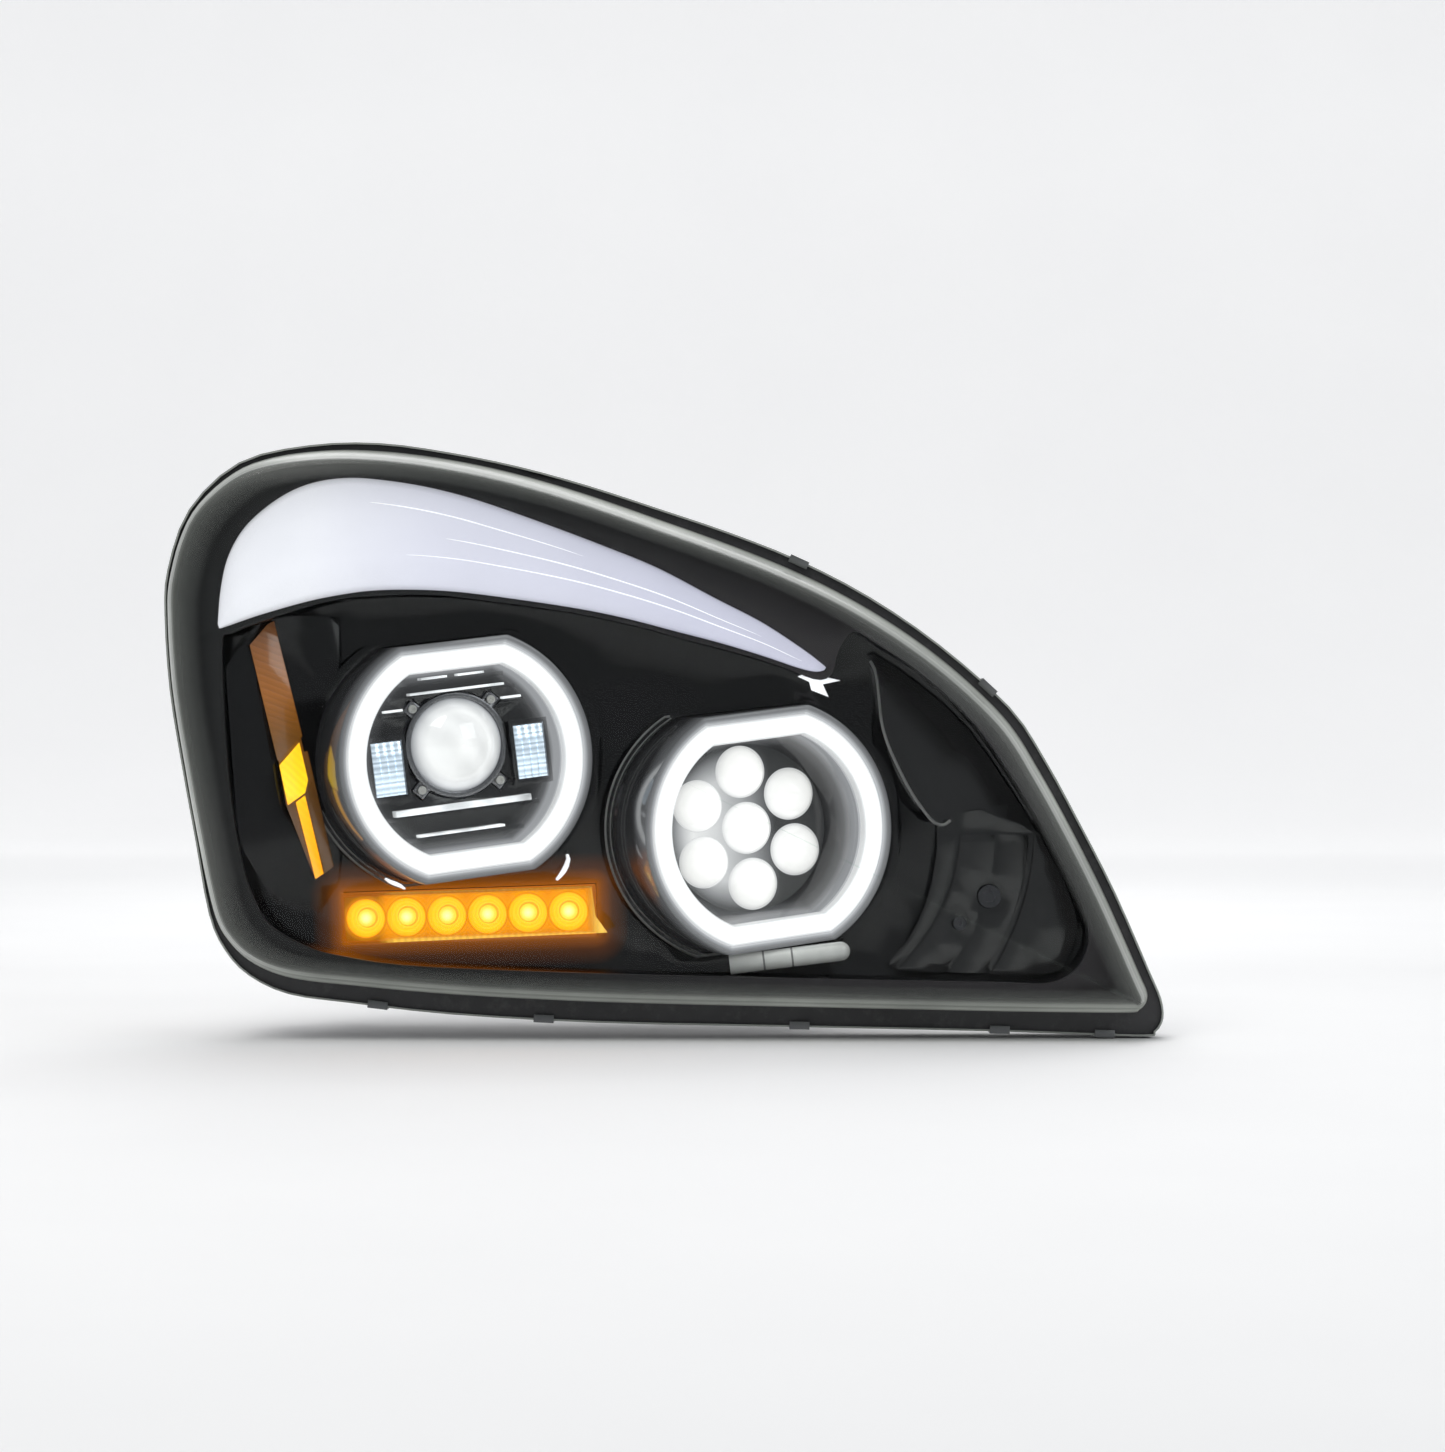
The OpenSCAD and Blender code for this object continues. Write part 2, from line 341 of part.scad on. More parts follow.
// ---- high beam ----
hex = concat([[0,0]],[for(a=[0:60:300]) optic_pitch*[sin(a),cos(a)]]);
module high_optics() { color([0.95,0.96,0.97]) highf() { h=14; R=(optic_r*optic_r+h*h)/(2*h);
  translate([0,44,0]) back(3,60);
  for(p=hex) translate([p[0],46,p[1]]) rotate([90,0,0]) intersection() { translate([0,0,h+1-R]) sphere(R,$fn=64); cylinder(h=h+3,r=optic_r); } } }
module high_funnel() { color([0.05,0.05,0.05]) highf() difference() {
  intersection() { translate([0,18,0]) back(25.9,76,63.5); tube_d(90,71,10,50); }
  intersection() { translate([0,17.9,0]) back(26.1,73.5,59.4); tube_d(90,68.5,10,50); } } }
module high_reflector() { color([0.9,0.9,0.9]) highf() difference() { translate([0,47.1,0]) back(12,60); for(p=hex) translate([p[0],46.9,p[1]]) back(12.5,17.5,7); } }
module high_led_board() { color([0.85,0.85,0.83]) highf() { translate([0,59.2,0]) back(1.8,58); for(p=hex) translate([p[0]-3,58,p[1]-3]) cube([6,1.3,6]); } }
module high_heatsink() { color([0.6,0.61,0.62]) highf() { translate([0,61.1,0]) back(6,56); fins(2,13,38,50,67); } }
// ---- aim frame: carries both beams on one pivot line ----
pv = [95,50,-36]; ball = [40,50,70];
module box(a,b) { translate(a) cube(b-a); }
module aim_frame() { color([0.2,0.2,0.21]) aimf() difference() {
  union() {
    translate([0,60.1,pz]) back(4,58);
    box([30,60.1,40],[50,64.1,76]);
    translate([ball[0],43,ball[2]]) back(21.1,8.5);
    translate([191,-4.8,-73]) back(4,58);
    box([45,60.1,-46],[66,64.1,-8]); box([62,57.3,-46],[94,64.1,-8]);
    translate([88,pv[1],pv[2]]) rotate([0,90,0]) cylinder(h=14,r=10);
    hull() { box([84,54,-24],[96,62,-2]); box([112,8,-16],[124,16,6]); }
    hull() { box([112,8,-16],[124,16,6]); box([134,-4.8,-82],[142,-0.8,-58]); }
    hull() { box([239,-4.8,-92],[248,-0.8,-60]); box([248,14,-66],[256,22,-42]); }
    hull() { box([248,14,-66],[256,22,-42]); box([259,42,-44],[267,50,-30]); }
    translate([257,pv[1],pv[2]]) rotate([0,90,0]) cylinder(h=12,r=10);
  }
  translate([0,50,pz]) back(30,41);
  translate([191,-20,-73]) back(30,52);
  translate([80,pv[1],pv[2]]) rotate([0,90,0]) cylinder(h=26,r=pivot_r+run_gap);
  translate([250,pv[1],pv[2]]) rotate([0,90,0]) cylinder(h=24,r=pivot_r+run_gap);
  translate(ball) sphere(5.4); translate(ball) back(20,4.2,6.4);
} }
module pivot_brackets() { color([0.55,0.56,0.58]) intersection() {
  union() {
    aimf() difference() {
      union() { box([104,40,-47],[110,150,-25]); box([271.5,40,-47],[277,100,-25]); }
      for(x=[103,270]) translate([x,pv[1],pv[2]]) rotate([0,90,0]) cylinder(h=9,r=pivot_r);
    }
    box([14,43.98,-42],[50,50,-12]); box([200,43.98,-24],[221,50,10]);
  }
  box([-200,-160,-200],[400,rear_y-case_wall-0.02,200]); } }
module pivot_pins() { color("silver") aimf() for(x=[[86,24],[255,22]]) translate([x[0],pv[1],pv[2]]) rotate([0,90,0]) { cylinder(h=x[1],r=pivot_r-0.02); translate([0,0,-2]) cylinder(h=2.01,r=7); } }
module adjuster_stud() { color([0.7,0.7,0.68]) aimf() translate(ball) { sphere(5); back(122,3); } }
module adjuster_knob() { color([0.85,0.85,0.83]) aimf() translate([ball[0],0,ball[2]]) difference() {
  union() { translate([0,140,0]) back(36,6.5); translate([0,175,0]) back(11,15);
    for(a=[0:30:359]) rotate([0,a,0]) translate([-1.5,175,14]) cube([3,11,2.4]); translate([0,185.9,0]) rotate([-90,0,0]) cylinder(h=5,r=6,$fn=6); }
  translate([0,139,0]) back(41,3+run_gap); } }
module adjuster_bush() { color([0.9,0.9,0.88]) aimf() translate([ball[0],0,ball[2]]) difference() { translate([0,152,0]) back(18,8.98); translate([0,150,0]) back(30,6.5+run_gap); } }
module adjuster_seal() { color([0.05,0.05,0.05]) aimf() translate([ball[0],0,ball[2]]) difference() { translate([0,170.1,0]) back(3.8,8.95); translate([0,165,0]) back(12,6.6); } }

// ---- rear: caps, driver, connector, vents ----
module cap(c) { translate([c[0],0,c[1]]) {
  difference() {
    union() { translate([0,rear_y+10.6,0]) back(5,cap_hole+6); translate([0,rear_y-3,0]) back(14,cap_hole-1.2);
      for(a=[0,120,240]) rotate([0,a+40,0]) translate([-5.5,rear_y+1.9,cap_hole-3]) cube([11,2.8,4.8]);
      translate([-30,rear_y+15,-4]) cube([60,11,8]);
      for(a=[0:20:359]) rotate([0,a,0]) translate([-2,rear_y+10.6,cap_hole+5]) cube([4,5,2.4]); }
    translate([0,rear_y-4,0]) back(16.5,cap_hole-4);
    difference() { translate([0,rear_y-2.6,0]) back(3.2,cap_hole); translate([0,rear_y-3,0]) back(4,cap_hole-2.2); } }
} }
module low_cap() { color([0.1,0.1,0.1]) cap(low_cap_c); }
module high_cap() { color([0.1,0.1,0.1]) cap(high_cap_c); }
module cap_seal(c) { translate([c[0],rear_y-2.55,c[1]]) difference() { back(3.1,cap_hole-run_gap); translate([0,-1,0]) back(6,cap_hole-2.15); } }
module low_cap_seal() { color([0.6,0.2,0.15]) cap_seal(low_cap_c); }
module high_cap_seal() { color([0.6,0.2,0.15]) cap_seal(high_cap_c); }
module driver_box() { color([0.45,0.46,0.47]) translate([0,rear_y+3.1,14]) difference() {
  union() { cube([90,16,64]); for(i=[0:10]) translate([4+i*8,15,4]) cube([2.4,8,56]); }
  for(x=[8,82]) for(z=[8,56]) translate([x,-1,z]) back(30,2.2);
  for(x=[8,82]) for(z=[8,56]) translate([x,8,z]) back(30,4.6);
} }
module driver_screws() { color("silver") for(x=[8,82]) for(z=[22,70]) translate([x,rear_y-1,z]) { back(12.2,1.65); translate([0,12.1,0]) difference() { back(3,4); translate([0,1.4,0]) rotate([-90,0,0]) cylinder(h=3,r=1.8,$fn=6); } } }
module pins() { for(i=[-2:2]) for(z=[-3,3]) translate([i*5.6-0.5,rear_y-9,z-0.5]) cube([1,25,1]); }
module connector_socket() { color([0.15,0.15,0.16]) translate([sock_c[0],0,sock_c[1]]) difference() {
  union() { translate([-17.8,rear_y-6,-9.8]) cube([35.6,30,19.6]); translate([-21,rear_y+4.05,-13]) cube([42,3,26]); translate([-5,rear_y+12,9.7]) cube([10,8,2.5]); }
  translate([-15.6,rear_y+2,-7.6]) cube([31.2,24,15.2]); pins(); } }
module connector_pins() { color([0.85,0.7,0.3]) translate([sock_c[0],0,sock_c[1]]) pins(); }
module vent_elbows() { color([0.06,0.06,0.06]) for(v=vents) translate([v[0],rear_y+3,v[1]]) {
  difference() { union() { back(11,7); translate([0,11,0]) rotate([180,0,0]) cylinder(h=20,r=6.2); translate([0,11,0]) sphere(7); } translate([0,-1,0]) back(11,5.05); translate([0,11,-21]) cylinder(h=20,r=3.6); } } }
// wiring loom clipped inside the rear wall
harness_pts = [[19,rear_y-13,-60],[17,34,-74],[2,34,-96],[-30,34,-101],[-70,33,-101],[-108,30,-98],[-132,12,-84],[-141,-15,-66],[-145,-38,-54],[-146,-58,-50]];
function tube_ring(p,d,r) = let(w=unit(d), a=unit(cross(w,[0.13,0.2,1])), b=cross(w,a)) [for(k=[0:45:315]) p+r*(cos(k)*a+sin(k)*b)];
module inner_harness() { color([0.05,0.05,0.05]) { n=36;
  loft([for(i=[n:-1:0]) let(u=i/n, p=open_at(harness_pts,u), q=open_at(harness_pts,min(u+0.01,1)), o=open_at(harness_pts,max(u-0.01,0))) tube_ring(p,q-o,3.2)]); } }

housing();
outer_lens();
lens_sealant();
lens_clips();
mount_bushings();
bezel();
inboard_panel();
panel_screws();
drl_guide();
drl_reflector();
drl_board();
side_marker_lens();
side_marker_guide();
side_marker_board();
turn_housing();
turn_reflector();
turn_board();
turn_optics();
turn_lens();
level_vial();
vial_cradle();
low_cup();
low_halo();
low_halo_board();
high_cup();
high_halo();
high_halo_board();
projector_lens();
lens_retainer();
projector_body();
cutoff_shield();
low_led_board();
low_heatsink();
low_shroud();
shroud_trim();
retainer_screws();
fan_frame();
fan_rotor();
high_optics();
high_funnel();
high_reflector();
high_led_board();
high_heatsink();
aim_frame();
pivot_brackets();
pivot_pins();
adjuster_stud();
adjuster_knob();
adjuster_seal();
adjuster_bush();
low_cap();
high_cap();
low_cap_seal();
high_cap_seal();
driver_box();
driver_screws();
connector_socket();
connector_pins();
vent_elbows();
inner_harness();
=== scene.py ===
import bpy, math
from mathutils import Vector, Matrix


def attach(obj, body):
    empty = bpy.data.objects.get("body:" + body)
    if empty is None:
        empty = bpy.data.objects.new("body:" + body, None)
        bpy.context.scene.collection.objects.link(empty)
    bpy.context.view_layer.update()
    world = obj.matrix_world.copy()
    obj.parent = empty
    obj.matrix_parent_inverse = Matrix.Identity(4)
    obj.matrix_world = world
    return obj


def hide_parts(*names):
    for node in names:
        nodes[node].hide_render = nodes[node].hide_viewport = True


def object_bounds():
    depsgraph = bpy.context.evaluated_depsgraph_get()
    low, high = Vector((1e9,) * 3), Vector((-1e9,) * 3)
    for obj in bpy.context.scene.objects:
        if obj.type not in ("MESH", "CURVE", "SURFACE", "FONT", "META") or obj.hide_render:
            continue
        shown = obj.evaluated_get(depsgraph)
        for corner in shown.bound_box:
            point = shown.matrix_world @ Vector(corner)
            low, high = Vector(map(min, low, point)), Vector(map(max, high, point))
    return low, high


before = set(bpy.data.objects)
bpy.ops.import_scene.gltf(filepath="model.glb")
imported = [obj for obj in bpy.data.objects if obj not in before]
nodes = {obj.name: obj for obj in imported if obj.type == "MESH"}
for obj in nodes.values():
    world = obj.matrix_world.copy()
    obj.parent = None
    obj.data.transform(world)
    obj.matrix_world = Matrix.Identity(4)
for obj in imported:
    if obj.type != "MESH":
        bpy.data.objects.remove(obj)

cad_lo, cad_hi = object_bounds()
MM = 0.001

# ------------------------------------------------------------------ outlines shared with the CAD frame, mm
LENS = [[-238,97],[-235.5,128],[-220.5,169],[-185,200.5],[-138,211.5],[-90,212],[-41,206],[8,195.5],[57,181],
  [106,164],[155,146.5],[204,126.5],[253,101],[302,67.5],[346,27],[369,-7],[394,-52],[418,-100],[442,-154],
  [446.5,-164],[447.5,-170],[445.5,-175.5],[441,-179.6],[435.5,-181],[400,-180.8],[344,-180],[204,-177],[64,-173.5],[-41,-168],[-108,-162],
  [-150,-157],[-177,-147],[-195,-131],[-206,-109],[-216.5,-60],[-226,-8],[-234.5,45]]
BAR_TOP = [[-200.5,90],[-198.5,114],[-193.5,136.5],[-183,156],[-167,171.5],[-148,183.5],[-128,190],[-106,192],
  [-82,190],[-57,186],[-32,180],[-8,172.5],[30,159],[67,145],[105,129.5],[145,108.5],[177,92],[204,74.5],[218,64],[222.5,60]]
BAR_LOW = [[-199.5,87.5],[-192,90],[-183,93.2],[-173,96.6],[-160,100.5],[-146,104.5],[-131,108.2],[-113,111.5],
  [-95,113.8],[-72,114.6],[-45,113.8],[-15,110.8],[42,102.6],[80,95.2],[118,85.4],[150,77],[180,67.8],[203,60],[215,57.4],[221.5,58.5]]
RIM_Y, WALL, CROWN = -100.0, 2.8, 62.0


def cr(a, b, c, d, t):
    return [0.5*((2*q)+(r-p)*t+(2*p-5*q+4*r-s)*t*t+(3*q-p-3*r+s)*t*t*t) for p, q, r, s in zip(a, b, c, d)]


def loop_spline(p, k):
    n = len(p)
    return [cr(p[(i-1) % n], p[i], p[(i+1) % n], p[(i+2) % n], j/k) for i in range(n) for j in range(k)]


def open_at(p, u):
    n = len(p)-1
    s = min(u*n, n-0.0001)
    i = int(s)
    return cr(p[max(i-1, 0)], p[i], p[i+1], p[min(i+2, n)], s-i)


def inset(p, d):
    n, out = len(p), []
    for i in range(n):
        tx, tz = p[(i+1) % n][0]-p[i-1][0], p[(i+1) % n][1]-p[i-1][1]
        m = math.hypot(tx, tz)
        out.append([p[i][0]+d*tz/m, p[i][1]-d*tx/m])
    return out


AIM = Matrix.Translation((-29, -108, -3.5)) @ Matrix.Rotation(math.radians(20), 4, 'Z') @ Matrix.Rotation(math.radians(-7), 4, 'Y')
LOW = AIM.copy()
HIGH = AIM @ Matrix.Translation((191, -72, -73))
TURN = Matrix.Translation((-100.5, 0, -115.3)) @ Matrix.Rotation(math.radians(-2), 4, 'Y')
VIAL = Matrix.Translation((191, -104, -143)) @ Matrix.Rotation(math.radians(-7), 4, 'Y')


# ------------------------------------------------------------------ mesh helpers
def obj_from(name, verts, faces, mats, ids=None, smooth=True, uv=None):
    me = bpy.data.meshes.new(name)
    me.from_pydata([tuple(c*MM for c in v) for v in verts], [], faces)
    for m in mats:
        me.materials.append(m)
    if ids:
        me.polygons.foreach_set("material_index", ids)
    me.polygons.foreach_set("use_smooth", [smooth]*len(me.polygons))
    if uv:
        lay = me.uv_layers.new(name="UVMap")
        for l in me.loops:
            lay.data[l.index].uv = uv[l.vertex_index]
    me.validate()
    me.update()
    o = bpy.data.objects.new(name, me)
    bpy.context.scene.collection.objects.link(o)
    return o


def closed_rows(rows, cap0=False, cap1=False):
    """faces through rows of equal closed loops"""
    n, f = len(rows[0]), []
    for k in range(len(rows)-1):
        for i in range(n):
            j = (i+1) % n
            f.append((k*n+i, k*n+j, (k+1)*n+j, (k+1)*n+i))
    if cap0:
        f.append(tuple(range(n-1, -1, -1)))
    if cap1:
        f.append(tuple((len(rows)-1)*n+i for i in range(n)))
    return f


def fix_normals(o):
    import bmesh
    b = bmesh.new()
    b.from_mesh(o.data)
    bmesh.ops.recalc_face_normals(b, faces=b.faces)
    b.to_mesh(o.data)
    b.free()


def by(m, p):
    v = m @ Vector(p)
    return (v.x, v.y, v.z)


def sharp(o, deg=32):
    o.data.set_sharp_from_angle(angle=math.radians(deg))


def add_bevel(o, w, seg=2, deg=35):
    b = o.modifiers.new("edge", 'BEVEL')
    b.width, b.segments, b.limit_method, b.angle_limit = w*MM, seg, 'ANGLE', math.radians(deg)
    b.use_clamp_overlap = True
    return b


# ------------------------------------------------------------------ material helpers
class G:
    def __init__(s, name, principled=True):
        s.m = bpy.data.materials.new(name)
        s.m.use_nodes = True
        s.nt = s.m.node_tree
        s.nt.nodes.clear()
        s.out = s.n('ShaderNodeOutputMaterial')
        s.p = None
        if principled:
            s.p = s.n('ShaderNodeBsdfPrincipled')
            s.link(s.p.outputs[0], s.out.inputs[0])
        s.P = s.n('ShaderNodeTexCoord').outputs['Object']

    def n(s, t, **k):
        x = s.nt.nodes.new(t)
        for a, b in k.items():
            setattr(x, a, b)
        return x

    def link(s, a, b):
        s.nt.links.new(a, b)

    def put(s, sock, v):
        if hasattr(v, 'is_output'):
            s.link(v, sock)
        else:
            sock.default_value = v

    def math(s, op, a, b=None, c=None, clamp=False):
        x = s.n('ShaderNodeMath', operation=op, use_clamp=clamp)
        s.put(x.inputs[0], a)
        if b is not None:
            s.put(x.inputs[1], b)
        if c is not None:
            s.put(x.inputs[2], c)
        return x.outputs[0]

    def vec(s, op, a, b=None, out=0):
        x = s.n('ShaderNodeVectorMath', operation=op)
        s.put(x.inputs[0], a)
        if b is not None:
            if op == 'SCALE':
                s.put(x.inputs['Scale'], b)
            else:
                s.put(x.inputs[1], b)
        return x.outputs[out]

    def local(s, M):
        """coordinates in a lamp frame, in mm"""
        d = s.vec('SUBTRACT', s.vec('SCALE', s.P, 1000.0), tuple(M.translation))
        R = M.to_3x3()
        return [s.vec('DOT_PRODUCT', d, tuple(R.col[i]), 1) for i in range(3)]

    def xyz(s):
        x = s.n('ShaderNodeSeparateXYZ')
        s.link(s.vec('SCALE', s.P, 1000.0), x.inputs[0])
        return x.outputs

    def ramp(s, fac, stops, interp='LINEAR'):
        r = s.n('ShaderNodeValToRGB')
        r.color_ramp.interpolation = interp
        e = r.color_ramp.elements
        while len(e) < len(stops):
            e.new(0.5)
        for q, (pos, col) in zip(e, stops):
            q.position = pos
            q.color = (*col, 1) if not isinstance(col, (int, float)) else (col, col, col, 1)
        s.link(fac, r.inputs[0])
        return r.outputs[0]

    def noise(s, scale, detail=3, rough=0.5, vec=None, out=0, dist=0.0):
        x = s.n('ShaderNodeTexNoise')
        s.link(vec if vec is not None else s.P, x.inputs['Vector'])
        x.inputs['Scale'].default_value = scale
        x.inputs['Detail'].default_value = detail
        x.inputs['Roughness'].default_value = rough
        x.inputs['Distortion'].default_value = dist
        return x.outputs[out]

    def mix(s, fac, a, b, kind='MIX'):
        x = s.n('ShaderNodeMix', data_type='RGBA', blend_type=kind)
        s.put(x.inputs[0], fac)
        for i, v in ((6, a), (7, b)):
            s.put(x.inputs[i], v if hasattr(v, 'is_output') else (*v, 1))
        return x.outputs[2]

    def span(s, v, a, b, lo=0.0, hi=1.0):
        x = s.n('ShaderNodeMapRange')
        s.put(x.inputs[0], v)
        for i, q in ((1, a), (2, b), (3, lo), (4, hi)):
            s.put(x.inputs[i], q)
        return x.outputs[0]

    def bump(s, height, strength=0.2, dist=0.0002, normal=None):
        x = s.n('ShaderNodeBump')
        x.inputs['Strength'].default_value = strength
        x.inputs['Distance'].default_value = dist
        s.link(height, x.inputs['Height'])
        if normal is not None:
            s.link(normal, x.inputs['Normal'])
        return x.outputs[0]

    def set(s, **k):
        names = {'col': 'Base Color', 'rough': 'Roughness', 'metal': 'Metallic', 'spec': 'Specular IOR Level', 'coat': 'Coat Weight',
                 'coatr': 'Coat Roughness', 'nrm': 'Normal', 'emit': 'Emission Color', 'glow': 'Emission Strength', 'ior': 'IOR',
                 'trans': 'Transmission Weight', 'sss': 'Subsurface Weight', 'aniso': 'Anisotropic'}
        for a, v in k.items():
            sock = s.p.inputs[names[a]]
            if isinstance(v, tuple) and len(v) == 3:
                v = (*v, 1)
            s.put(sock, v)
        return s


def moulded(name, col, rough, var=0.35, grain=900.0, gs=0.12, scuff=0.12, spec=0.5, coat=0.0):
    """moulded plastic: fine grain, faint colour drift, scuffed roughness"""
    g = G(name)
    big = g.noise(14, 3, 0.6)
    fine = g.noise(grain, 2, 0.6)
    c = g.mix(g.span(big, 0.3, 0.7), tuple(x*(1-var) for x in col), tuple(min(1, x*(1+var)+0.002) for x in col))
    dust = g.ramp(g.noise(60, 6, 0.75), [(0.52, 0.0), (0.75, 1.0)])
    c = g.mix(g.math('MULTIPLY', dust, 0.10), c, (0.32, 0.31, 0.30))
    r = g.math('ADD', g.math('MULTIPLY', g.noise(35, 5, 0.7), scuff), rough-scuff*0.5, clamp=True)
    g.set(col=c, rough=r, spec=spec, nrm=g.bump(g.math('ADD', g.math('MULTIPLY', fine, 0.8), g.math('MULTIPLY', g.noise(160, 3, 0.6), 0.35)), gs, 0.0003))
    if coat:
        g.set(coat=coat, coatr=0.03)
    return g.m


def metal(name, col, rough, brushed=None, var=0.15):
    g = G(name)
    if brushed is not None:
        v = g.vec('MULTIPLY', g.P, brushed)
        f = g.noise(600, 3, 0.6, vec=v)
    else:
        f = g.noise(420, 4, 0.65)
    c = g.mix(g.noise(40, 4, 0.6), tuple(x*(1-var) for x in col), tuple(min(1, x*(1+var)) for x in col))
    g.set(col=c, metal=1.0, rough=g.math('ADD', g.math('MULTIPLY', f, rough*0.7), rough*0.65, clamp=True), nrm=g.bump(f, 0.10, 0.0002))
    return g.m


def board(name, col):
    g = G(name)
    tr = g.n('ShaderNodeTexVoronoi', feature='DISTANCE_TO_EDGE')
    g.link(g.P, tr.inputs['Vector'])
    tr.inputs['Scale'].default_value = 260
    line = g.ramp(tr.outputs[0], [(0.03, 1.0), (0.06, 0.0)])
    g.set(col=g.mix(g.math('MULTIPLY', line, 0.5), col, tuple(min(1, x*1.9+0.03) for x in col)), rough=0.42, nrm=g.bump(line, 0.15, 0.0001))
    return g.m


def d_distance(g, M, r, f):
    """how far outside a D-cut ring of radius r and flats f a point is, in mm"""
    x, y, z = g.local(M)
    rad = g.math('SQRT', g.math('ADD', g.math('MULTIPLY', x, x), g.math('MULTIPLY', z, z)))
    return g.math('MAXIMUM', g.math('SUBTRACT', rad, r), g.math('SUBTRACT', g.math('ABSOLUTE', z), f)), x, y, z, rad


def lit_black(name, M, rough=0.12, power=0.5, near_floor=0.12):
    """gloss black plastic with the ring's light painted on as a glow: it fades away from the ring on both sides"""
    g = G(name)
    d, x, y, z, rad = d_distance(g, M, 78.5, 70)
    off = g.math('ABSOLUTE', d)
    fade = g.ramp(g.span(off, 7.0, 22.0), [(0.0, 1.0), (0.22, 0.34), (0.5, 0.09), (1.0, 0.0)])
    depth = g.span(y, 1.0, 24.0, 1.0, near_floor)
    fine = g.noise(500, 3, 0.6)
    g.set(col=g.mix(g.noise(20, 3, 0.6), (0.006, 0.006, 0.007), (0.014, 0.014, 0.016)), rough=g.math('ADD', g.math('MULTIPLY', g.noise(40, 4, 0.7), 0.1), rough),
          nrm=g.bump(fine, 0.04, 0.0002), emit=(0.93, 0.95, 1.0), glow=g.math('MULTIPLY', g.math('MULTIPLY', fade, depth), power), coat=0.5, coatr=0.04)
    return g.m


# ------------------------------------------------------------------ materials
S = {}
S["black_housing"] = moulded("housing_black", (0.022, 0.022, 0.024), 0.44, grain=700, gs=0.22, scuff=0.2)
g = G("housing_lip")
X, Y, Z = g.xyz()
# painted highlight: the housing's front lip, past y = -103 mm, is coloured light grey
lip_highlight = g.span(Y, -103.0, -103.9)
gr = g.noise(700, 2, 0.6)
base = g.mix(g.span(g.noise(14, 3, 0.6), 0.3, 0.7), (0.014, 0.014, 0.015), (0.030, 0.030, 0.032))
dust = g.math('MULTIPLY', g.ramp(g.noise(60, 6, 0.75), [(0.52, 0.0), (0.75, 1.0)]), 0.10)
g.set(col=g.mix(g.math('MULTIPLY', lip_highlight, 0.8), g.mix(dust, base, (0.32, 0.31, 0.30)), (0.36, 0.38, 0.35)), rough=g.math('ADD', g.math('MULTIPLY', g.noise(35, 5, 0.7), 0.2), 0.34),
      nrm=g.bump(g.math('ADD', gr, g.math('MULTIPLY', g.noise(160, 3, 0.6), 0.35)), 0.2, 0.0003))
S["black_housing"] = g.m
S["black_sealant"] = moulded("sealant_black", (0.012, 0.012, 0.013), 0.6, grain=300, gs=0.3)
S["clip_steel"] = metal("clip_steel", (0.16, 0.165, 0.165), 0.38, (1, 1, 6))
S["bushing_steel"] = metal("bushing_steel", (0.60, 0.59, 0.56), 0.3, (1, 8, 1))
S["panel_black"] = None
S["black_screw"] = metal("screw_black", (0.06, 0.06, 0.065), 0.3)
S["reflector_chrome"] = metal("reflector_chrome", (0.86, 0.86, 0.88), 0.12)
S["circuit_board"] = board("board_green", (0.02, 0.11, 0.04))
S["white_board"] = board("board_white", (0.75, 0.75, 0.72))
S["grey_plastic"] = moulded("grey_plastic", (0.20, 0.20, 0.20), 0.5)
S["cast_metal"] = metal("cast_metal", (0.50, 0.51, 0.53), 0.5)
S["shield_steel"] = metal("shield_steel", (0.30, 0.30, 0.31), 0.4)
S["heatsink_metal"] = metal("heatsink_metal", (0.55, 0.56, 0.57), 0.42, (8, 1, 1))
S["fan_black"] = moulded("fan_black", (0.02, 0.02, 0.022), 0.35)
S["frame_plastic"] = moulded("frame_plastic", (0.045, 0.045, 0.048), 0.5, grain=500)
S["white_nylon"] = moulded("white_nylon", (0.66, 0.65, 0.60), 0.45, var=0.06, scuff=0.1)
S["seal_rubber"] = moulded("seal_rubber", (0.014, 0.014, 0.015), 0.75, grain=400, gs=0.3)
S["cap_black"] = moulded("cap_black", (0.018, 0.018, 0.019), 0.5, grain=600, gs=0.3, scuff=0.25)
S["cap_seal_red"] = moulded("cap_seal_red", (0.36, 0.05, 0.03), 0.6, var=0.15)
S["contact_brass"] = metal("contact_brass", (0.80, 0.60, 0.26), 0.22)
S["loom_black"] = moulded("loom_black", (0.015, 0.015, 0.016), 0.55, grain=250, gs=0.5)

# bezel: satin land close to the lens, gloss black inside, painted amber light spill (a glow) round the turn strip
g = G("bezel_black")
X, Y, Z = g.xyz()
land = g.span(Y, -113.0, -117.0)
warm = g.span(X, -40.0, 260.0)
grey = g.mix(warm, (0.013, 0.013, 0.0135), (0.028, 0.024, 0.027))
base = g.mix(land, g.mix(g.noise(12, 3, 0.6), (0.0022, 0.0022, 0.0025), (0.0052, 0.0052, 0.0060)), grey)
rr = g.math('ADD', g.math('MULTIPLY', land, 0.26), g.math('ADD', g.math('MULTIPLY', g.noise(30, 5, 0.7), 0.08), 0.06))
fb = g.math('ADD', g.math('MULTIPLY', g.noise(700, 2, 0.6), land), g.math('MULTIPLY', g.noise(25, 2, 0.5), 0.25))
tx, ty, tz = g.local(TURN)
dx = g.math('MAXIMUM', g.math('SUBTRACT', g.math('ABSOLUTE', g.math('SUBTRACT', tx, 72.0)), 88.0), 0.0)
dz = g.math('MAXIMUM', g.math('SUBTRACT', g.math('ABSOLUTE', tz), 16.0), 0.0)
dist = g.math('SQRT', g.math('ADD', g.math('MULTIPLY', dx, dx), g.math('MULTIPLY', dz, dz)))
